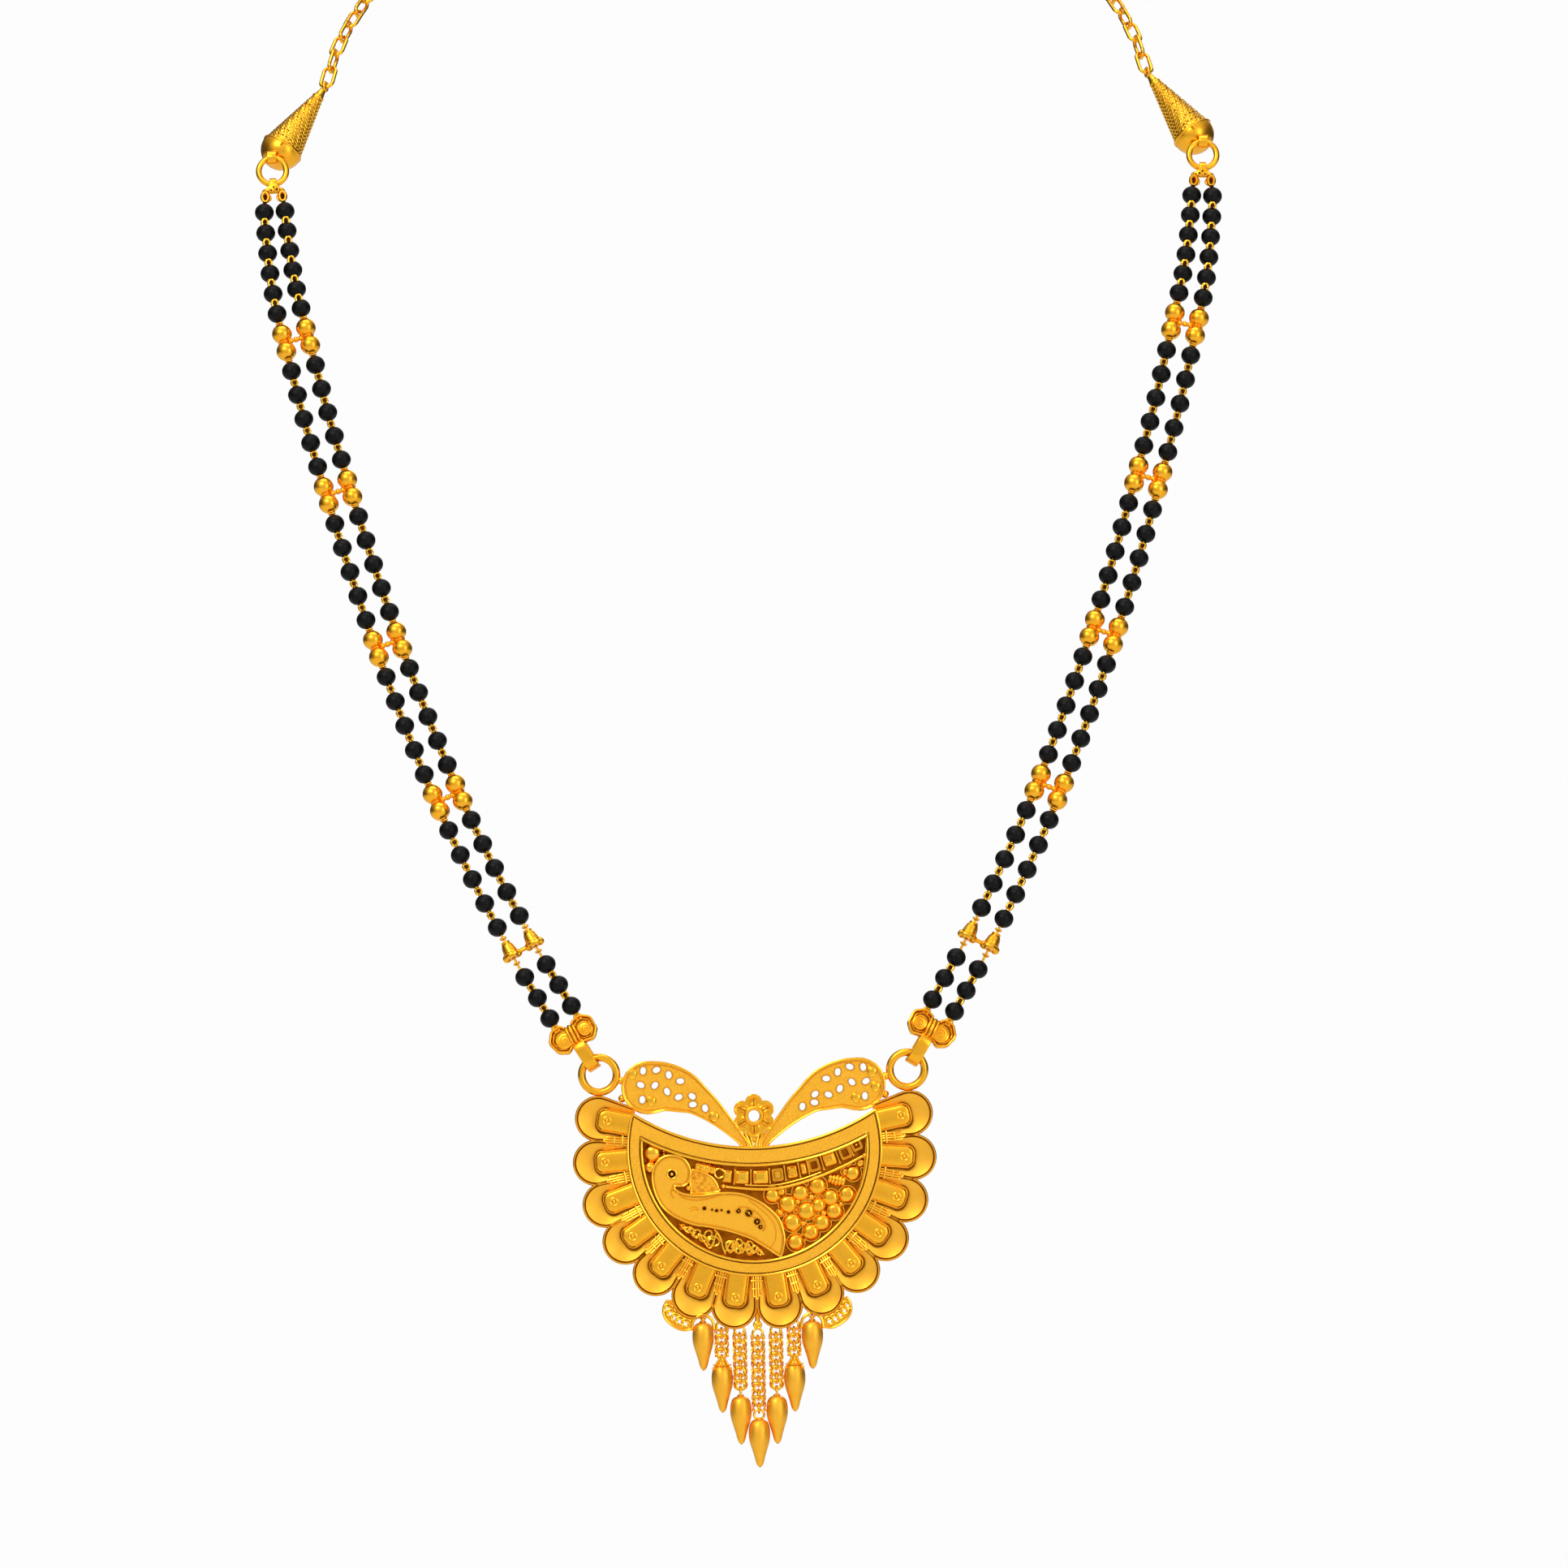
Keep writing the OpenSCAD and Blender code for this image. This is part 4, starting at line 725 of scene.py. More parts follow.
def peacock():
    outline = smooth(PEACOCK, 5, closed=True)
    s = Shape()
    holes = [circle(x, y, r, 14) for x, y, r in HOLES + CURLS]
    s.add(plate(inward(outline, 0.12), holes, 0.5, PEACOCK_TOP), 1)
    s.add(pillow(outline[::-1], outline[::-1], [(1, PEACOCK_TOP + 0.1), (1, 0.4)]))
    s.add(rim(inward(outline, 0.14), PEACOCK_TOP + 0.12, 0.19, 8))
    s.add(rim(inward(outline, 0.5), PEACOCK_TOP + 0.01, 0.07))
    for (x, y, r), hole in zip(HOLES + CURLS, holes):
        s.add(rim(circle(x, y, r + 0.06, 18), PEACOCK_TOP + 0.03, 0.1))
        # The holes' walls in darker gold, painted shade inside the holes
        s.add(pillow(hole, hole, [(1, PEACOCK_TOP), (1, 0.6)]), 2)
    s.balls(10, [(x + 0.05, y, PEACOCK_TOP - 0.1, r * 0.42) for x, y, r in CURLS])
    for r, path in ENGRAVED:
        s.add(wire(smooth(path, 6), PEACOCK_TOP + 0.03, r, 6))
    # Eye: a ring round a dark, nearly flat disc that paints the shade of a hollow, with a ball in it
    s.add(ring(0.72, 0.14, 32, 8), 0, shift(*EYE, PEACOCK_TOP + 0.08))
    s.add(lathe([(0.62, 0.0), (0, 0.01)], 24), 3, shift(*EYE, PEACOCK_TOP + 0.04))
    s.balls(14, [(*EYE, PEACOCK_TOP + 0.12, 0.3)])
    # Shell behind the neck, strewn with balls and rings
    shell = smooth(SHELL, 4, closed=True)
    s.add(plate(shell, [], 0.5, 1.5), 1)
    s.add(rim(inward(shell, 0.1), 1.6, 0.2, 8))
    s.balls(10, [(x, y, 1.56, 0.2) for x, y in SHELL_GRAINS[1::2]])
    for x, y in SHELL_GRAINS[::2]:
        s.add(ring(0.22, 0.09, 14, 6), 0, shift(x, y, 1.55))
    s.balls(14, [(-10.7, -6.2, 1.5, 0.55)])
    standing(s, "pendant_peacock", [polished, frosted, painted_shade_and_reflection, dark])


GRAINS = [
    (2.73, -7.57, 1.17), (4.16, -6.92, 0.65), (5.2, -9.0, 1.33), (7.28, -7.18, 1.22), (10.01, -6.14, 1.32),
    (15.7, -4.25, 1.15), (12.09, -8.09, 1.22), (14.75, -7.7, 1.25), (8.19, -10.17, 1.3), (10.14, -9.26, 1.05),
    (12.7, -10.3, 1.25), (5.85, -11.99, 1.32), (10.65, -12.12, 1.22), (8.85, -13.6, 1.22),
    (6.35, -15.2, 1.25), (17.0, -2.6, 0.7), (14.5, -4.0, 0.6), (3.9, -10.4, 0.5), (6.8, -8.7, 0.4),
    (10.9, -10.6, 0.45), (7.6, -12.2, 0.4), (9.0, -8.0, 0.45), (13.7, -9.2, 0.35)]
# The rounding of a grain's top: share of its radius, share of its rise
GRAIN_ROUND = [(0.97, 0.3), (0.86, 0.62), (0.7, 0.83), (0.5, 0.95)]
# The row under the frame's upper edge: x, y, half width, half height, kind
SQUARES = [
    (-4.42, -4.4, 0.72, 0.95, "bar"), (-2.08, -4.6, 1.08, 1.0, "block"), (0.91, -4.6, 1.22, 1.0, "block"),
    (3.64, -4.3, 0.85, 0.9, "frame"), (5.98, -3.85, 0.8, 0.9, "dome"), (7.8, -3.35, 0.5, 0.85, "bar"),
    (9.49, -2.85, 0.85, 0.9, "hollow"), (11.96, -1.87, 1.0, 1.0, "dot"), (14.5, -0.94, 0.85, 0.9, "hollow"),
    (16.3, 0.3, 0.8, 0.85, "ring")]
WALLS = [(-3.25, -4.5), (-0.65, -4.6), (2.35, -4.45), (4.82, -4.05), (7.1, -3.6), (8.5, -3.1), (10.8, -2.5),
         (13.3, -1.5), (15.4, -0.35)]
# Wires that run through the frame: height, radius, sides, points
RUNS_IN_FRAME = [
    (2.05, 0.24, 10, 6, [(-5.07, -6.01), (-2.08, -6.4), (1.56, -6.6), (4.16, -6.38), (7.54, -5.6),
                         (11.18, -4.35), (14.56, -2.9), (17.55, -1.4)]),
    (1.9, 0.13, 8, 6, [(-1.5, -5.85), (1.5, -5.98), (4.16, -5.8), (7.54, -5.02), (10.6, -4.0)]),
    (2.0, 0.22, 10, 5, [(17.95, 2.3), (17.9, 0.1), (17.7, -1.98), (17.45, -4.3), (16.85, -6.3)])]
PEBBLES = [
    (-16.3, -0.45, 1.5), (-16.75, -2.8, 1.1), (-14.5, -0.1, 0.36), (-14.5, -0.72, 0.3), (-14.9, 0.5, 0.3),
    (-12.6, 0.15, 0.3), (-5.3, -3.3, 0.38), (-6.0, -2.2, 0.35)]
SCROLL_RINGS = [
    (-9.49, -13.4, 0.55), (-7.65, -13.65, 0.6), (-6.89, -14.77, 0.9), (-8.63, -14.3, 0.5),
    (-7.2, -14.9, 0.5), (-3.85, -15.55, 0.9), (-2.73, -15.05, 0.52), (-2.73, -16.35, 0.52),
    (-1.82, -15.7, 0.58), (-0.96, -15.4, 0.5), (-0.96, -16.6, 0.48), (-0.13, -16.15, 0.52),
    (0.57, -16.65, 0.42), (-3.5, -15.7, 0.45), (-10.9, -12.9, 0.42), (-11.75, -12.4, 0.36),
    (-10.2, -13.1, 0.42)]
SCROLLS = [
    [(-12.3, -11.9), (-11.6, -12.7), (-11.1, -13.2), (-10.5, -12.4), (-10.0, -12.9), (-10.3, -13.7),
     (-9.6, -14.2), (-9.0, -13.6), (-8.4, -14.8), (-7.4, -15.9), (-6.6, -14.2), (-6.2, -13.2)],
    [(-6.6, -12.9), (-6.0, -13.7), (-5.55, -14.7), (-5.35, -15.7), (-4.95, -16.85)],
    [(-4.9, -15.0), (-4.2, -16.7), (-3.1, -15.0), (-2.3, -16.7), (-1.4, -15.1), (-0.5, -16.8), (0.3, -15.9),
     (1.2, -17.1)],
    [(-4.9, -16.4), (-3.9, -14.9), (-2.9, -16.9), (-2.0, -15.0), (-1.2, -16.9), (-0.2, -15.5), (0.9, -16.9)]]


def rounded_square(half_x, half_y, corner, steps=5):
    out = []
    for sx, sy, start in ((1, 1, 0), (-1, 1, 90), (-1, -1, 180), (1, -1, 270)):
        out += arc(corner, start, start + 90, steps, (sx * (half_x - corner), sy * (half_y - corner)))
    return np.array(out)


def on_smile(x, y):
    """A place in the frame, turned to lie along its upper edge."""
    return shift(x, y) @ turn_z(math.degrees(math.atan2(x, SMILE_Y - y)))


def ribbed(length, r, ribs):
    """A barrel of ribs along X."""
    profile, half = [], length / ribs / 2
    for k in range(ribs):
        off = k - (ribs - 1) / 2
        bulge = r * (1 - 0.12 * abs(off))
        profile += [(bulge * share, off * 2 * half + part * half)
                    for share, part in ((0.86, -0.96), (0.96, -0.6), (1, 0), (0.96, 0.6), (0.86, 0.96))]
    part = lathe([(0, -length / 2)] + profile + [(0, length / 2)], 22)
    return moved(part, axes((0, 0, -1), (0, 1, 0), (1, 0, 0)))


def square(s, half_x, half_y, kind, at):
    half_x, half_y = half_x * 1.06, half_y * 1.14
    edge = rounded_square(half_x, half_y, 0.28)
    if kind in ("block", "bar", "dot", "dome"):
        s.add(pillow(edge, None, [
            (1, 0.5), (1, 1.5), (0.96, 1.7), (0.88, 1.8), (0.78, 1.84), (0.72, 1.86), (0.66, 1.95),
            (0.55, 2.0), (0.3, 2.03), (0.02, 2.04)]), 0, at)
    else:
        inner = rounded_square(half_x * 0.62, half_y * 0.62, 0.2)
        s.add(plate(edge, [inner], 0.5, 1.85), 0, at)
        s.add(rim(edge * 0.93, 1.88, 0.11), 0, at)
        s.add(rim(inner * 1.08, 1.88, 0.09), 0, at)
        if kind == "frame":
            s.add(pillow(inner, None, [(1, 0.5), (0.98, 1.3), (0.85, 1.5), (0.02, 1.55)]), 0, at)
    if kind == "dot":
        s.add(ring(0.3, 0.09, 16, 6), 0, at @ shift(0, 0, 2.05))
    if kind == "dome":
        s.add(ring(0.55, 0.12, 20, 6), 0, at @ shift(0, 0, 1.95))
    if kind == "ring":
        s.add(ball(0.35, 12), 0, at @ shift(0, 0, 1.5))


def inlay():
    s = Shape()
    for k, (x, y, r) in enumerate(GRAINS):
        r *= 1.14
        base, top = 1.1, 1.25 + min(r, 1.2) * 0.72
        profile = [(r, 0.3), (r, base)] + [(r * out, base + (top - base) * up) for out, up in GRAIN_ROUND]
        s.add(lathe(profile + [(r * 0.25, top), (0, top + 0.01)], 26), 0, shift(x, y))
        if r > 1.0 and k % 3 == 1:
            sx, sy = rng.uniform(-0.12, 0.12, 2)
            s.add(ring(0.4, 0.08, 20, 6), 0, shift(x + sx, y + sy, top - 0.02))
            s.balls(10, [(x + sx, y + sy, top + 0.03, 0.2)])
        s.add(rim(circle(x, y, r + 0.08, 26), 1.05, 0.14))
    for x, y, half_x, half_y, kind in SQUARES:
        square(s, half_x, half_y, kind, on_smile(x, y))
    wall = rounded_square(0.12, 1.25, 0.1, 3)
    for x, y in WALLS:
        s.add(pillow(wall, None, [(1, 0.5), (1, 2.05), (0.6, 2.14), (0.02, 2.15)]), 0, on_smile(x, y))
    for z, r, sides, steps, path in RUNS_IN_FRAME:
        s.add(wire(smooth(path, steps), z, r, sides))
    s.balls(12, [(-5.07, -6.01, 2.05, 0.42), (17.95, 2.2, 2.0, 0.5), (17.6, -1.4, 2.05, 0.4),
                 (4.7, -17.6, 1.9, 0.42)])
    s.balls(10, [(3.9, -17.75, 1.8, 0.3), (5.5, -17.3, 1.8, 0.3)])
    s.balls(8, [(-9.2 + 0.45 * k, -2.35 - 0.13 * k, 2.1, 0.16) for k in range(7)])
    for x, y, r in PEBBLES:
        s.add(pebble(r, r, min(r, 1.05), 20), 0, shift(x, y, min(1.1, 0.6 + r * 0.5) + 0.25))
    s.add(ribbed(3.3, 1.0, 4), 0, shift(-7.9, -3.0, 1.2) @ turn_z(-16))
    s.add(ribbed(2.7, 1.1, 5), 0, shift(13.1, -5.25, 1.3) @ turn_z(-14))
    s.add(ring(0.75, 0.18, 24, 8), 0, shift(-5.7, -3.9, 1.6))
    # Loops of flat wire between the peacock and the frame
    for x, y, r in SCROLL_RINGS:
        s.add(rim(circle(x, y, r, 22, 0.12), 1.45 + rng.uniform(-0.08, 0.08), 0.2, 8, 1.3))
    for path in SCROLLS:
        s.add(wire(smooth(path, 5), 1.6, 0.2, 8, 1.3))
    standing(s, "pendant_inlay", [polished, painted_shade_and_reflection])


DROP_X = [-8.75, -5.8, -2.9, 0.0, 2.9, 5.8, 8.75]
HOOK_FALL = [26.797, 28.41, 29.216, 29.7, 29.216, 28.41, 26.797]
LINKS = [0, 4, 8, 11, 8, 4, 0]
LINK_PITCH, HANG_Z, MIDDLE_BALL_FALL = 1.08, 0.9, 28.3
EDGE_ON = axes((0, 0, 1), (0, 1, 0), (-1, 0, 0))


def leaves_and_hooks():
    s = Shape()
    # Leaves outside the fourth petal from the middle on each side: pierced, with a wire rim and small scrolls
    centre = polar(petal_angle(5), FRAME_R + PETAL_REACH)
    leaf = [(190, 0.7), (200, 1.5), (212, 2.1), (225, 2.3), (240, 2.3), (253, 2.2), (266, 1.8)]
    outer = smooth([centre + polar(a, PETAL_R + reach) for a, reach in leaf], 5)
    inner = [centre + polar(a, 3.3) for a in np.linspace(266, 190, 16)]
    middles = [centre + polar(a, PETAL_R + 1.15) for a in (207, 218, 230, 241, 253)]
    for side in (-1, 1):
        flip = mirror(side)
        holes = [circle(*m, 0.34, 12) for m in middles]
        s.add(plate(np.concatenate([outer, inner]), holes, 0.4, 1.3), 1, flip)
        s.add(wire(outer, 1.35, 0.2), 0, flip)
        for m in middles:
            s.add(rim(circle(*m, 0.42, 14), 1.34, 0.14, 8), 0, flip)
            curl = [m + r * np.array([math.cos(t), math.sin(t)])
                    for r, t in zip(np.linspace(0.95, 0.45, 10), np.linspace(0.5, 4.5, 10))]
            s.add(wire(curl, 1.45, 0.16), 0, flip)
    # Hooks under the petals, and in the middle a ball on two wires
    for x, fall, links in zip(DROP_X, HOOK_FALL, LINKS):
        if links == 0:
            s.add(ring(0.5, 0.18, 24, 8), 0, shift(x, -fall, HANG_Z))
            arch = [(-1.75, -2.0), (-1.45, -0.55), (0, 0.35), (1.45, -0.55), (1.75, -2.0)]
            s.add(wire(smooth(arch, 6), 1.35, 0.26), 0, shift(x, -fall))
        else:
            s.add(ring(0.8, 0.2, 28, 8), 0, shift(x, -fall, HANG_Z))
            for dx in (-0.55, 0.55):
                leg = [(dx, -0.6), (dx * 1.3, 0.1), (dx, 0.5)]
                s.add(wire(smooth(leg, 5), 1.15, 0.16), 0, shift(x, -fall))
    s.balls(18, [(0, -MIDDLE_BALL_FALL, 1.0, 0.75)])
    s.add(ring(0.5, 0.14, 20, 8), 0, shift(0, -MIDDLE_BALL_FALL, 1.62))
    s.add(tube([(0, -27.6, 1.0), (0, -26.0, 1.0)], 0.4, 10))
    s.add(tube([(0, -21.0, 1.5), (0, -26.6, 1.3)], 0.2))
    standing(s, "pendant_leaves_and_hooks", [polished, frosted])


def tassels():
    """Loop-in-loop chains: a row of rings between two twisted edges."""
    for i in range(1, 6):
        s = Shape()
        x, top, count = DROP_X[i], -HOOK_FALL[i], LINKS[i]
        for k in range(1, count + 1):
            y = top - k * LINK_PITCH
            if k % 2 == 0:
                s.add(ring(0.66, 0.2, 28, 8), 0, shift(x, y, HANG_Z))
                s.add(ring(0.92, 0.13, 28, 6), 0, shift(x, y, 0.55))
            else:
                s.add(ring(0.8, 0.2, 28, 8), 0, shift(x, y, HANG_Z) @ EDGE_ON)
                s.balls(10, [(x, y, 1.78, 0.24)])
        low, high = top - count * LINK_PITCH - 0.5, top - 0.3
        ys = np.linspace(high, low, max(int((high - low) / 0.09), 12))
        for side in (-1, 1):
            for phase in (0.0, math.pi):
                turns = ys / LINK_PITCH * math.pi + phase
                edge = np.c_[x + side * 0.9 + 0.16 * np.cos(turns), ys, 0.95 + 0.2 * np.sin(turns)]
                s.add(tube(edge, 0.13, 6))
            for k in range(count):
                y = top - (k + 0.5) * LINK_PITCH
                lace = [(0.85, 0.5, 1.0), (0.35, 0.0, 1.42), (-0.2, -0.42, 1.2)]
                s.add(tube(smooth([(x + side * dx, y + dy, z) for dx, dy, z in lace], 4), 0.11, 6))
        standing(s, f"tassel_{i + 1}", [polished], [f"tassel_chain_{i + 1}"])


DROP_R, DROP_LEN = 1.7, 7.7
DROP_OUTLINE = [
    (0.0, 0), (0.4, 0.01), (0.72, 0.05), (0.9, 0.12), (1, 0.24), (1, 0.36), (0.95, 0.45), (0.85, 0.54),
    (0.72, 0.63), (0.6, 0.72), (0.48, 0.81), (0.38, 0.9), (0.27, 0.96), (0.14, 0.99), (0, 1)]


def filigree(s, at):
    """A small roof of six wires over a drop."""
    for a in range(30, 390, 60):
        x, y = polar(a)
        path = [(0.3 * x, 0.3 * y, 1.25), (0.75 * x, 0.75 * y, 0.5), (1.35 * x, 1.35 * y, -0.35),
                (1.62 * x, 1.62 * y, -0.75)]
        s.add(tube(smooth(path, 5), 0.14, 6), 0, at)
        s.add(ring(0.26, 0.09, 14, 6), 0, at @ shift(1.3 * x, 1.3 * y, -0.1))
        s.balls(10, [(1.6 * x, 1.6 * y, -0.7, 0.2)], at)
    s.add(lathe([(0.34, 1.3), (0.5, 0.8), (0.9, 0.25), (1.2, -0.12), (1.3, -0.3), (1.1, -0.28)], 24), 0, at)


def drops():
    """Smooth drops with the loops that hold them, and a filigree roof over the second and the sixth."""
    profile = [(max(r, 0.0) * DROP_R, -fall * DROP_LEN) for r, fall in smooth(DROP_OUTLINE, 5)]
    profile[0], profile[-1] = (0, 0), (0, -DROP_LEN)
    collar = [(0.42, 0.22), (0.52, 0.12), (0.56, 0.0), (0.7, -0.1), (0.78, -0.2), (0.7, -0.24), (0.4, -0.1)]
    for i, (x, fall, links) in enumerate(zip(DROP_X, HOOK_FALL, LINKS)):
        s = Shape()
        if links == 0:
            loop, below, turned = ring(0.5, 0.18, 28, 8), 0.54, EDGE_ON
            top = -fall - below - 0.38
        else:
            loop, below = ring(0.8, 0.2, 32, 8), (links + 1) * LINK_PITCH
            turned = np.eye(4) if links % 2 == 1 else EDGE_ON
            top = -fall - below - 0.7
        upright = axes((-1, 0, 0), (0, 0, 1), (0, 1, 0), (x, top, HANG_Z))
        s.add(lathe(profile[::-1], 44), 1, upright)
        # A dark tip at the drop's bottom, painted shade
        s.add(lathe([(0.2, -7.62), (0.17, -7.72), (0, -7.76)], 16), 2, upright)
        s.add(loop, 0, shift(x, -fall - below, HANG_Z) @ turned)
        s.add(lathe(collar, 24), 0, upright)
        if i in (1, 5):
            filigree(s, upright)
        standing(s, f"drop_piece_{i + 1}", [polished, soft, painted_shade_and_reflection], [f"drop_{i + 1}"])


# Strands: the middle line of the right-hand pair, as in the CAD model

BOW = np.array([28.702, -105.0, -185.555])
LINE = smooth(BOW + np.array([
    (0, 0, 0), (2.1, 1, 3.9), (8.5, 4, 15.1), (17.6, 9, 33.7), (25.3, 14.5, 52.9), (32.2, 20.5, 73.1),
    (38.9, 27.5, 95.9), (42.1, 31.5, 108.5), (44.9, 35.5, 120.6), (46.2, 38.5, 130.7),
    (46.6, 40.5, 138.2)]), 12)
DISTANCE = np.concatenate([[0], np.cumsum(np.linalg.norm(np.diff(LINE, axis=0), axis=1))])
STRAND_LEN = DISTANCE[-1]
FRONT = np.array([0.0, -1.0, 0.0])
# Half the distance between the two strands of a pair, and where it narrows toward the yoke
PAIR_HALF, PAIR_HALF_TOP, NARROWS_FROM = 2.0, 1.65, STRAND_LEN - 22
FIRST_PIECE, LAST_PIECE = 2.8, 3.15
TANGENT_REACH = 0.8
RUNS, RUN_GAPS = [3, 5, 5, 5, 5, 6], [0.9, 1.35, 1.25, 1.15, 1.1, 0.38]
BEAD_D, BALL_D, BALL_PITCH, BELL_LEN = 3.0, 3.2, 3.05, 3.0
BELL_GAP_BELOW, BELL_GAP_ABOVE, BALL_GAP = 1.9, 1.1, 0.38


def along(s):
    return np.array([np.interp(s, DISTANCE, LINE[:, k]) for k in range(3)])


def on_strand(s, across=0.0):
    """The frame on the strands' line: X across them, Y to the back, Z along them."""
    t = unit(along(min(s + TANGENT_REACH, STRAND_LEN)) - along(max(s - TANGENT_REACH, 0)))
    n = unit(np.cross(t, FRONT))
    return axes(n, np.cross(t, n), t, along(s) + across * n)


def half_spacing(s):
    return float(np.interp(s, [NARROWS_FROM, STRAND_LEN - LAST_PIECE], [PAIR_HALF, PAIR_HALF_TOP]))


def stations():
    """Every piece on a strand from the bow up, as (kind, distance, length)."""
    items = []
    for r, count in enumerate(RUNS):
        last = 0 if r == 5 else BELL_GAP_BELOW if r == 0 else BALL_GAP
        items += [("bead", BEAD_D, RUN_GAPS[r] if i < count - 1 else last) for i in range(count)]
        if r == 0:
            items.append(("bell", BELL_LEN, BELL_GAP_ABOVE))
        elif r < 5:
            items.append(("balls", BALL_PITCH + BALL_D, BALL_GAP))
    free = STRAND_LEN - FIRST_PIECE - LAST_PIECE - sum(length for _, length, _ in items)
    scale = free / sum(gap for _, _, gap in items)
    out, s = [], FIRST_PIECE
    for kind, length, gap in items:
        out.append((kind, s + length / 2, length))
        s += length + gap * scale
    return out


STATIONS = stations()
# Face coordinates: X across, Y along the strand, Z toward the viewer
FACE = np.array([[1, 0, 0, 0], [0, 0, -1, 0], [0, 1, 0, 0], [0, 0, 0, 1]], float)
SIDES = {"left": mirror(-1), "right": np.eye(4)}


def beads():
    """Slightly flattened glass beads with a drilled, softly broken edge at each bore."""
    bore = [(0.4, 1.2), (0.4, 1.36), (0.46, 1.41), (0.56, 1.4)]
    profile = [(r, -z) for r, z in bore]
    profile += [(1.55 * math.cos(a), 1.48 * math.sin(a)) for a in np.radians(np.linspace(-66, 66, 17))]
    part = lathe(profile + bore[::-1], 24)
    for side, m in SIDES.items():
        for row, sign in (("outer", 1), ("inner", -1)):
            s = Shape()
            for kind, where, _ in STATIONS:
                if kind == "bead":
                    spin = turn_z(rng.uniform(0, 360))
                    s.add(part, 0, m @ on_strand(where, sign * half_spacing(where)) @ spin)
            s.make(f"beads_{side}_{row}", "chain", [bead_black], [f"black_beads_{side}_{row}"])


def square_link(s, at):
    link = lifted(rounded_square(0.44, 0.47, 0.26), 0.14)
    s.add(tube(link, 0.2, 8, closed=True, up=UP, squash=1.3), 0, at)
    s.add(tube(link * (0.9, 0.9, -2.0), 0.18, 8, closed=True, up=UP), 0, at)
    # A dark disc in the link's middle, painted shade in its opening
    s.add(lathe([(0.33, 0.23), (0.0, 0.26)], 16), 1, at)
    for end in (-1, 1):
        s.add(tube([(0, end * 0.45, 0.0), (0, end * 0.85, 0.0)], 0.3, 10), 0, at)


def arched_link(s, at):
    half = [(-0.46, -0.5, 0.82), (-0.46, -0.08, 0.93), (-0.3, 0.26, 0.93)]
    arch = half + [(0.0, 0.38, 0.9)] + [(-x, y, z) for x, y, z in reversed(half)]
    s.add(tube(smooth(arch, 4), 0.2, 8, up=UP), 0, at)
    # A dark pebble under the arch, painted shade in its opening
    s.add(pebble(0.3, 0.36, 0.12), 1, at @ shift(0, -0.14, 0.84))


def eyelets():
    """The small wire loops that show between the beads."""
    for side, m in SIDES.items():
        s = Shape()
        for (kind, a, length), (kind2, b, length2) in zip(STATIONS, STATIONS[1:]):
            low, high = a + length / 2, b - length2 / 2
            where = (low + high) / 2
            for sign in (-1, 1):
                flat = m @ on_strand(where, sign * half_spacing(where))
                if kind != "bead" or kind2 != "bead":
                    s.add(ring(0.42, 0.17, 24, 8), 0, flat)
                    s.balls(10, [(dx, 0, 0.35, 0.2) for dx in (-0.4, 0.4)], flat @ FACE)
                elif high - low > 0.8:
                    square_link(s, flat @ FACE)
                else:
                    arched_link(s, flat @ FACE)
        s.make(f"eyelets_{side}", "chain", [polished, dark])


def strip(path, outward, across, half_width, half_thick, corner=0.12, closed=True):
    """A flat strip along a path. outward is its face's direction at each point, across that of its width."""
    path, outward, across = (np.asarray(v, float) for v in (path, outward, across))
    section = rounded_square(half_width, half_thick, corner, 4)
    points = path[:, None, :] + section[None, :, :1] * across + section[None, :, 1:] * outward[:, None, :]
    return points.reshape(-1, 3), sleeve(len(path), len(section), closed)


def bow_lobe(s, at, disc, wave):
    """A scrolled lobe: a wavy rim round a trough in darker gold, painted shade, and a raised disc with a
    spiral in it.
    """
    angles = full_turn(56)
    wavy = 1 + 0.035 * np.sin(7 * angles + wave) + 0.02 * np.sin(4 * angles + 2 * wave)
    edge = np.c_[2.05 * wavy * np.cos(angles), 2.35 * wavy * np.sin(angles)]
    s.add(pillow(edge, None, [
        (0.8, -1.1), (0.95, -0.85), (1.0, -0.3), (0.985, 0.25), (0.95, 0.62), (0.9, 0.74), (0.84, 0.68),
        (0.8, 0.5), (0.78, 0.3)]), 0, at)
    s.add(pillow(edge, None, [(0.8, 0.31), (0.0, 0.36)]), 1, at)
    s.add(rim(edge * 0.9, 0.72, 0.19, 8), 0, at)
    s.add(rim(edge * 0.67, 0.44, 0.13, 8), 0, at)
    x, y, r = disc
    edge = circle(x, y, r, 36, 0.03)
    middle = np.tile((x, y), (36, 1))
    s.add(pillow(edge, middle, [
        (1.0, 0.3), (1.0, 0.86), (0.95, 1.0), (0.87, 1.0), (0.8, 0.9), (0.6, 0.93), (0.3, 0.98),
        (0.0, 1.0)]), 0, at)
    s.add(rim(middle + 0.93 * (edge - middle), 1.0, 0.13, 8), 0, at)
    curl = [(x + q * math.cos(t + wave), y + q * math.sin(t + wave))
            for q, t in zip(np.linspace(0.12, r * 0.62, 30), np.linspace(0, 9.5, 30))]
    s.add(wire(curl, 1.02, 0.1, 6), 0, at)
    # A dark ring round the disc's foot, painted shade
    s.add(rim(circle(x, y, r + 0.2, 36, 0.03), 0.4, 0.09), 1, at)


BAIL_ANGLE, BAIL_TWIST, BAIL_R = 58, 4, 1.73
BAIL_HOLD = np.array([26.148, -105.0, -189.642])
BAIL_ENDS = (0.18, 2.08)


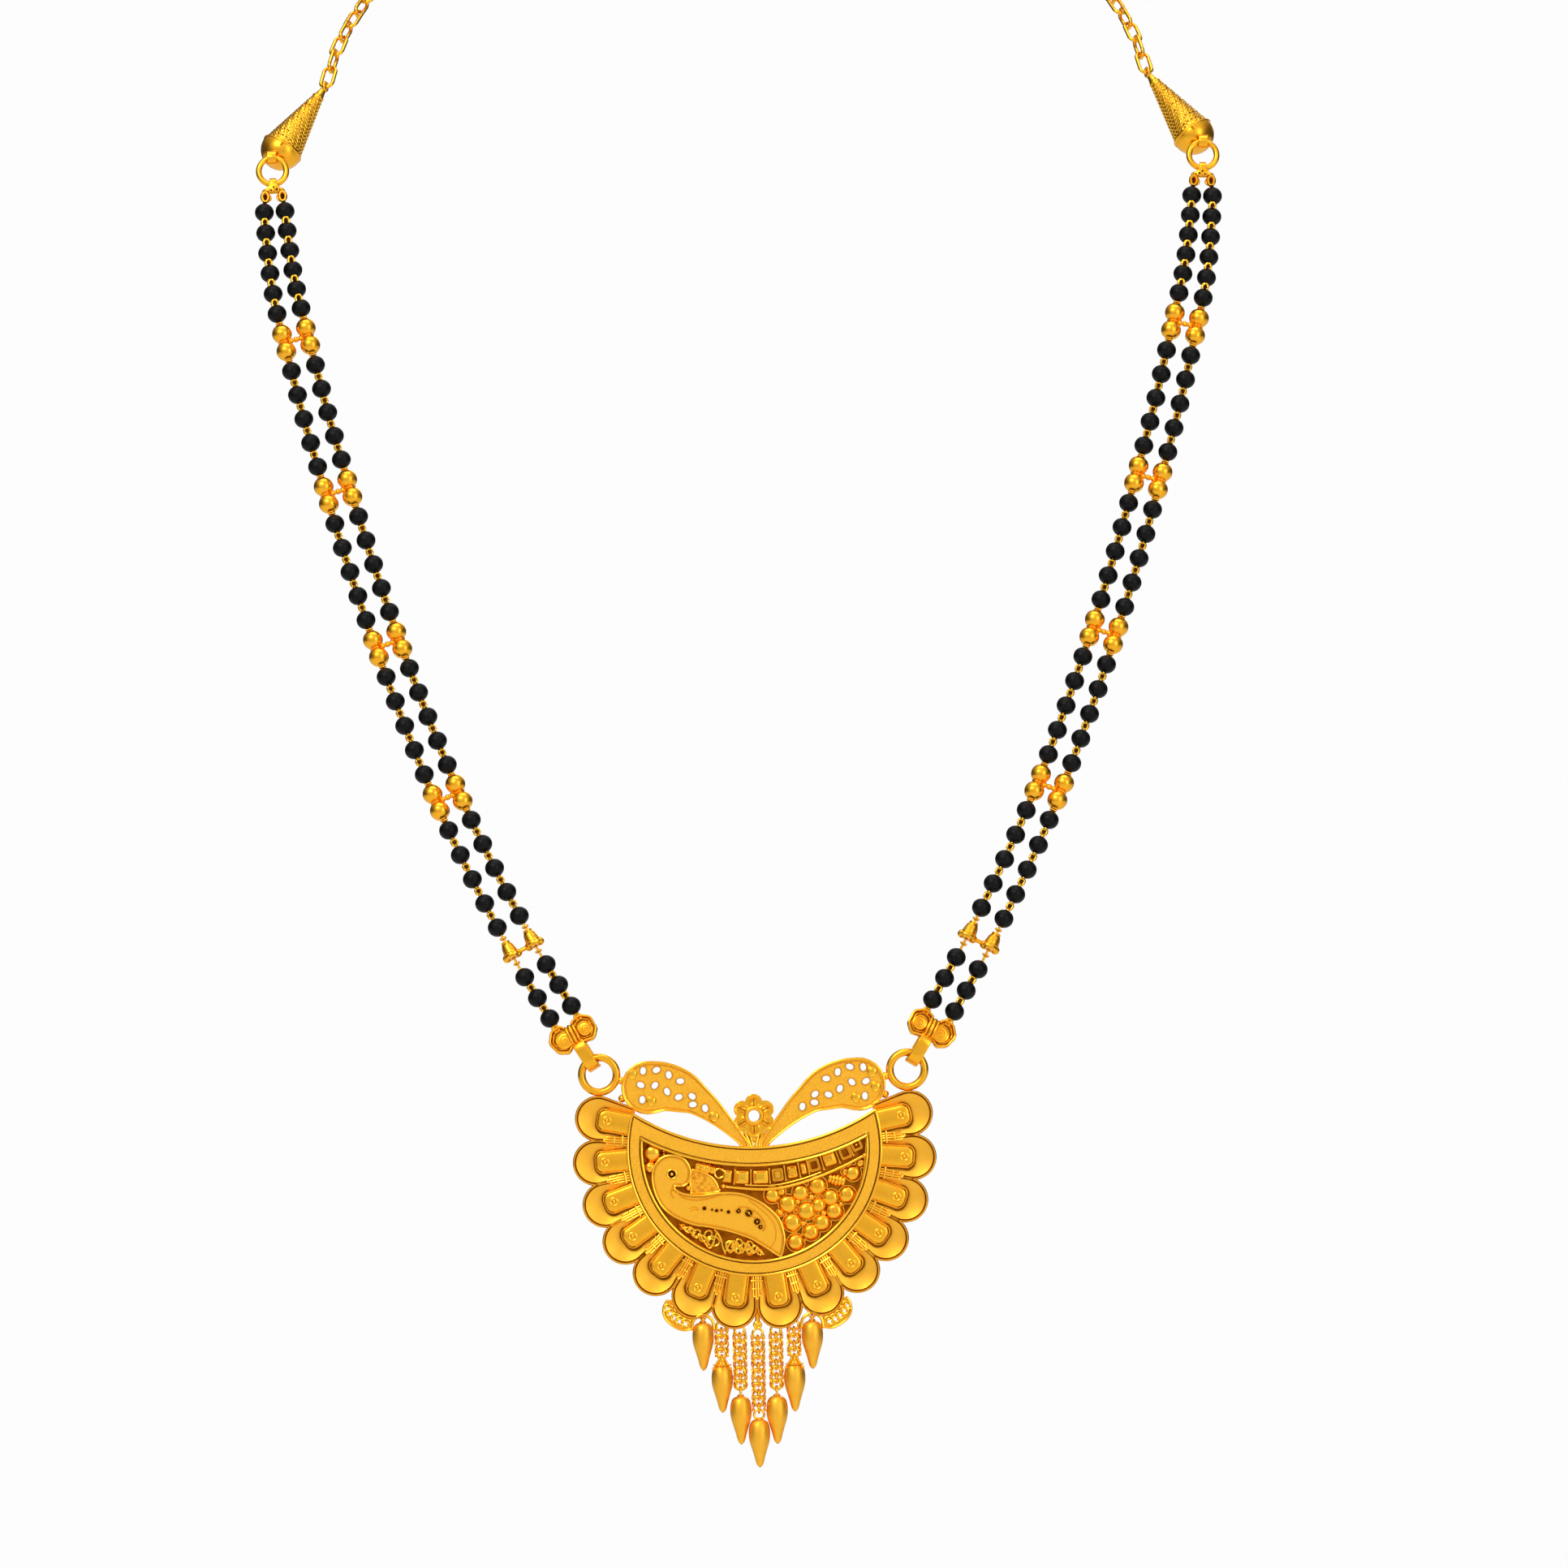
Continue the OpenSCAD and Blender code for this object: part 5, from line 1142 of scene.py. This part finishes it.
def bows():
    """Two scrolled lobes, a clamp of three ridges and the flat strip that takes the pendant's ring."""
    (way_x, way_z), (cos_twist, sin_twist) = polar(BAIL_ANGLE), polar(BAIL_TWIST)
    way, level = np.array([way_x, 0, way_z]), np.array([way_z, 0, -way_x])
    depth, width = FRONT * cos_twist + level * sin_twist, level * cos_twist - FRONT * sin_twist
    turns = [(BAIL_ENDS[0], a) for a in np.linspace(math.pi / 2, 1.5 * math.pi, 17)]
    turns += [(BAIL_ENDS[1], a) for a in np.linspace(-math.pi / 2, math.pi / 2, 17)]
    outward = [math.cos(a) * way + math.sin(a) * depth for _, a in turns]
    path = [BAIL_HOLD + u * way + BAIL_R * o for (u, _), o in zip(turns, outward)]
    bail = strip(path, outward, width, 1.0, 0.22)
    block = rounded_square(0.95, 1.4, 0.3)
    ridge = [(-1.5, 0.1), (-1.42, 0.8), (-0.95, 1.25), (0, 1.4), (0.95, 1.25), (1.4, 0.8), (1.48, 0.1)]
    for side, m in SIDES.items():
        s = Shape()
        at = m @ on_strand(0) @ FACE
        bow_lobe(s, at @ shift(2.0, 0), (-0.35, -0.3, 1.4), 0.4)
        bow_lobe(s, at @ shift(-2.0, 0.1), (-0.1, -0.2, 1.15), 2.1)
        s.add(pillow(block, None, [(0.9, -1.1), (1, -0.9), (1, 0.9), (0.9, 1.12), (0.0, 1.15)]), 0, at)
        for dx, thick in ((-0.62, 0.24), (0.0, 0.3), (0.62, 0.24)):
            s.add(tube(smooth([(dx, y, z) for y, z in ridge], 5), thick, 10), 0, at)
        # Dark wires in the grooves between the ridges, painted shade
        for dx in (-0.31, 0.31):
            s.add(tube([(dx, -1.3, 1.18), (dx, 1.3, 1.18)], 0.09, 6), 1, at)
        for across in (PAIR_HALF, -PAIR_HALF):
            s.add(ring(0.5, 0.22, 24, 8), 0, at @ shift(across, 2.2, 0.3))
        s.add(bail, 0, m)
        s.make(f"bow_piece_{side}", "chain", [satin, painted_shade_and_reflection], [f"bow_{side}"])


DOME, DOME_R = np.array([73.9438, -59.6082, -41.6423]), 3.4
CONE_DIR = np.array([-0.543936, 0.317305, 0.776821])
CONE_LOW, CONE_HIGH, CONE_R_LOW, CONE_R_HIGH = 0.55, 10.75, 3.22, 0.93
TIP = np.array([66.7638, -55.4198, -31.3883])
TIP_AXIS = np.array([0.935633, 0.352974, 0.0])
CAP_RING_TOP = np.array([75.4837, -63.3724, -43.0539])


def scaled_cone(columns=176, rows=100):
    """A cone covered with small arcs in staggered rows, and the look of each of its faces."""
    turns = full_turn(columns)
    row_step, scale_width, arc_pitch = 0.62, 0.86, 0.4
    points, sink = [], []
    for z in np.linspace(CONE_LOW, CONE_HIGH, rows):
        row = int((z - CONE_LOW) / row_step)
        slope = (CONE_R_HIGH - CONE_R_LOW) / (CONE_HIGH - CONE_LOW)
        r, row_r = CONE_R_LOW + slope * (z - CONE_LOW), CONE_R_LOW + slope * row * row_step
        count = max(int(2 * math.pi * row_r / scale_width), 6)
        cell = turns * count / (2 * math.pi) + 0.5 * (row % 2)
        away = np.hypot((cell % 1 - 0.5) * scale_width, z - CONE_LOW - row * row_step)
        # Pits near the base and along the edges of the scales
        hole = np.sin(np.floor(cell) * 12.9 + row * 78.2) > (0.2 if row < 3 else 0.75)
        d = 0.06 * np.cos(2 * math.pi * away / arc_pitch) - 0.14 * hole * (away < 0.17)
        d = d * max(min(1.0, (z - CONE_LOW) / 0.15, (CONE_HIGH - z) / 0.3), 0.0)
        points.append(np.c_[(r + d) * np.cos(turns), (r + d) * np.sin(turns), np.full(columns, z)])
        sink.append(d)
    faces, sink = grid(rows, columns), np.concatenate(sink)
    # Faces sunk into the pits take the darker gold, painted shade
    looks = [1 if sink[list(f)].mean() < -0.042 else 2 for f in faces]
    return (np.concatenate(points), faces), looks


def end_caps():
    """A smooth dome, a scaled cone with a plain neck, a loop at its tip and a strap round the ring below."""
    x = unit(np.cross((0, 1, 0), CONE_DIR))
    upright = axes(x, np.cross(CONE_DIR, x), CONE_DIR, DOME)
    cone, cone_looks = scaled_cone()
    dome = lathe([(0, -DOME_R)] + arc(DOME_R, -90, -1, 24)[1:] + [
        (3.4, 0.0), (3.49, 0.06), (3.53, 0.18), (3.5, 0.32), (3.38, 0.4), (3.32, 0.46), (3.2, 0.56)], 72)
    neck = lathe([(0.9, 10.65), (0.98, 10.8), (1.0, 10.98), (0.95, 11.12), (0.8, 11.3), (0.68, 11.7),
                  (0.56, 12.1), (0.5, 12.5), (0.3, 12.7), (0, 12.72)], 36)
    # A painted dark reflection on the dome's front: a short flat dash in darker gold
    out = unit((-0.2, -3.15, 1.0))
    across = unit(np.cross(unit(CONE_DIR * (1, 0, 1)), out))
    painted_reflection_dash = axes(0.2 * across, 0.6 * unit(np.cross(out, across)), 0.06 * out, DOME + 3.37 * out)
    hold = on_strand(STRAND_LEN)
    turns = full_turn(32)
    outward = [math.cos(a) * hold[:3, 1] + math.sin(a) * hold[:3, 2] for a in turns]
    strap = strip([CAP_RING_TOP + 0.98 * o for o in outward], outward, hold[:3, 0], 0.74, 0.24, 0.1)
    to_dome = unit(DOME - CAP_RING_TOP)
    foot = axes(hold[:3, 0], unit(np.cross(to_dome, hold[:3, 0])), to_dome, CAP_RING_TOP + 0.95 * to_dome)
    block = rounded_square(0.98, 0.62, 0.25)
    for side, m in SIDES.items():
        s = Shape()
        s.add(dome, 0, m @ upright)
        start = len(s.faces)
        s.add(cone, 2, m @ upright)
        s.looks[start:] = cone_looks
        s.add(neck, 2, m @ upright)
        s.add(ring(0.68, 0.28, 32, 12), 2, m @ axes(np.cross(UP, TIP_AXIS), UP, TIP_AXIS, TIP))
        s.add(ball(1.0, 14), 1, m @ painted_reflection_dash)
        s.add(strap, 0, m)
        s.add(pillow(block, None, [(0.9, -0.1), (1, 0.1), (1, 0.7), (0.9, 0.9)]), 0, m @ foot)
        s.make(f"end_cap_piece_{side}", "chain", [satin, painted_shade_and_reflection, polished], [f"end_cap_{side}"])


FLARE = [(-0.55, 0.15), (-0.72, -0.4), (-1.3, -1.0), (-1.2, -1.35), (1.2, -1.35), (1.3, -1.0), (0.72, -0.4),
         (0.55, 0.15)]
YOKE_GRAINS = [
    (-1.3, -1.05, 0.5, 0.3), (-0.85, -1.3, 0.75, 0.24), (-0.3, -0.95, 0.98, 0.22), (0.1, -1.35, 0.85, 0.25),
    (0.55, -1.1, 0.95, 0.22), (1.25, -1.1, 0.5, 0.3), (-1.55, -1.2, 0.1, 0.3), (1.55, -1.2, 0.1, 0.3)]
YOKE_PITS = [(-0.55, -1.12, 0.2), (-0.02, -0.72, 0.2), (0.32, -1.2, 0.16), (-1.05, -1.2, 0.15)]


def yokes():
    """A saddle over the ring's lowest wire, a beaded bar and an oval link above each strand."""
    outward = np.array([(0, *polar(a)[::-1]) for a in np.linspace(200, -20, 15)])
    angles = full_turn(40)
    for side, m in SIDES.items():
        s = Shape()
        at = m @ on_strand(STRAND_LEN) @ FACE
        s.add(strip(outward * 0.8, outward, (1, 0, 0), 0.55, 0.2, 0.1, closed=False), 0, at)
        for face, back in ((0.92, 0.6), (-0.6, -0.92)):
            s.add(plate(FLARE, [], back, face), 0, at)
        s.add(pillow(FLARE, np.tile((0.0, -0.8), (8, 1)), [(1.0, 0.9), (0.9, 0.98), (0.0, 1.0)]), 0, at)
        s.add(tube([(-1.45, -1.15, 0), (1.45, -1.15, 0)], 0.42, 12), 0, at)
        s.balls(10, YOKE_GRAINS, at)
        # Dark balls in the pits, painted shade
        for x, y, r in YOKE_PITS:
            s.add(ball(r, 10), 1, at @ shift(x, y, 0.9))
        for sign in (-1, 1):
            oval = np.c_[sign * 1.4 + 0.5 * np.cos(angles), -2.2 + 0.78 * np.sin(angles)]
            s.add(rim(oval, 0.42, 0.29, 10, 1.3), 0, at)
            # A dark pebble in the link's opening, painted shade
            s.add(pebble(0.3, 0.5, 0.1), 1, at @ shift(sign * 1.4, -2.25, 0.35))
        s.make(f"yoke_piece_{side}", "chain", [satin, dark], [f"yoke_{side}"])


def spacer_trim():
    """Thin rims between each pair of gold balls, and the edges of the bells."""
    ball_end = BALL_PITCH / 2 + 1.5
    # Along the strand, radius, wire radius, steps, sides
    trims = {
        "balls": [(0, 0.86, 0.13, 26, 6), (ball_end, 0.5, 0.13, 26, 6), (-ball_end, 0.5, 0.13, 26, 6)],
        "bell": [(-1.15, 1.32, 0.16, 36, 8), (-0.6, 1.22, 0.1, 36, 8), (1.3, 0.66, 0.12, 24, 8)]}
    for side, m in SIDES.items():
        s = Shape()
        for kind, where, _ in STATIONS:
            for sign in (-1, 1):
                at = m @ on_strand(where, PAIR_HALF * sign)
                for z, *sizes in trims.get(kind, []):
                    s.add(ring(*sizes), 0, at @ shift(0, 0, z))
        s.make(f"spacer_trim_{side}", "chain", [polished])


for build in (frame_band, petals, wings, flower, peacock, inlay, leaves_and_hooks, tassels, drops, beads,
              eyelets, bows, end_caps, yokes, spacer_trim, floor, world, softboxes, camera):
    build()
bpy.context.scene.view_settings.view_transform = "Standard"
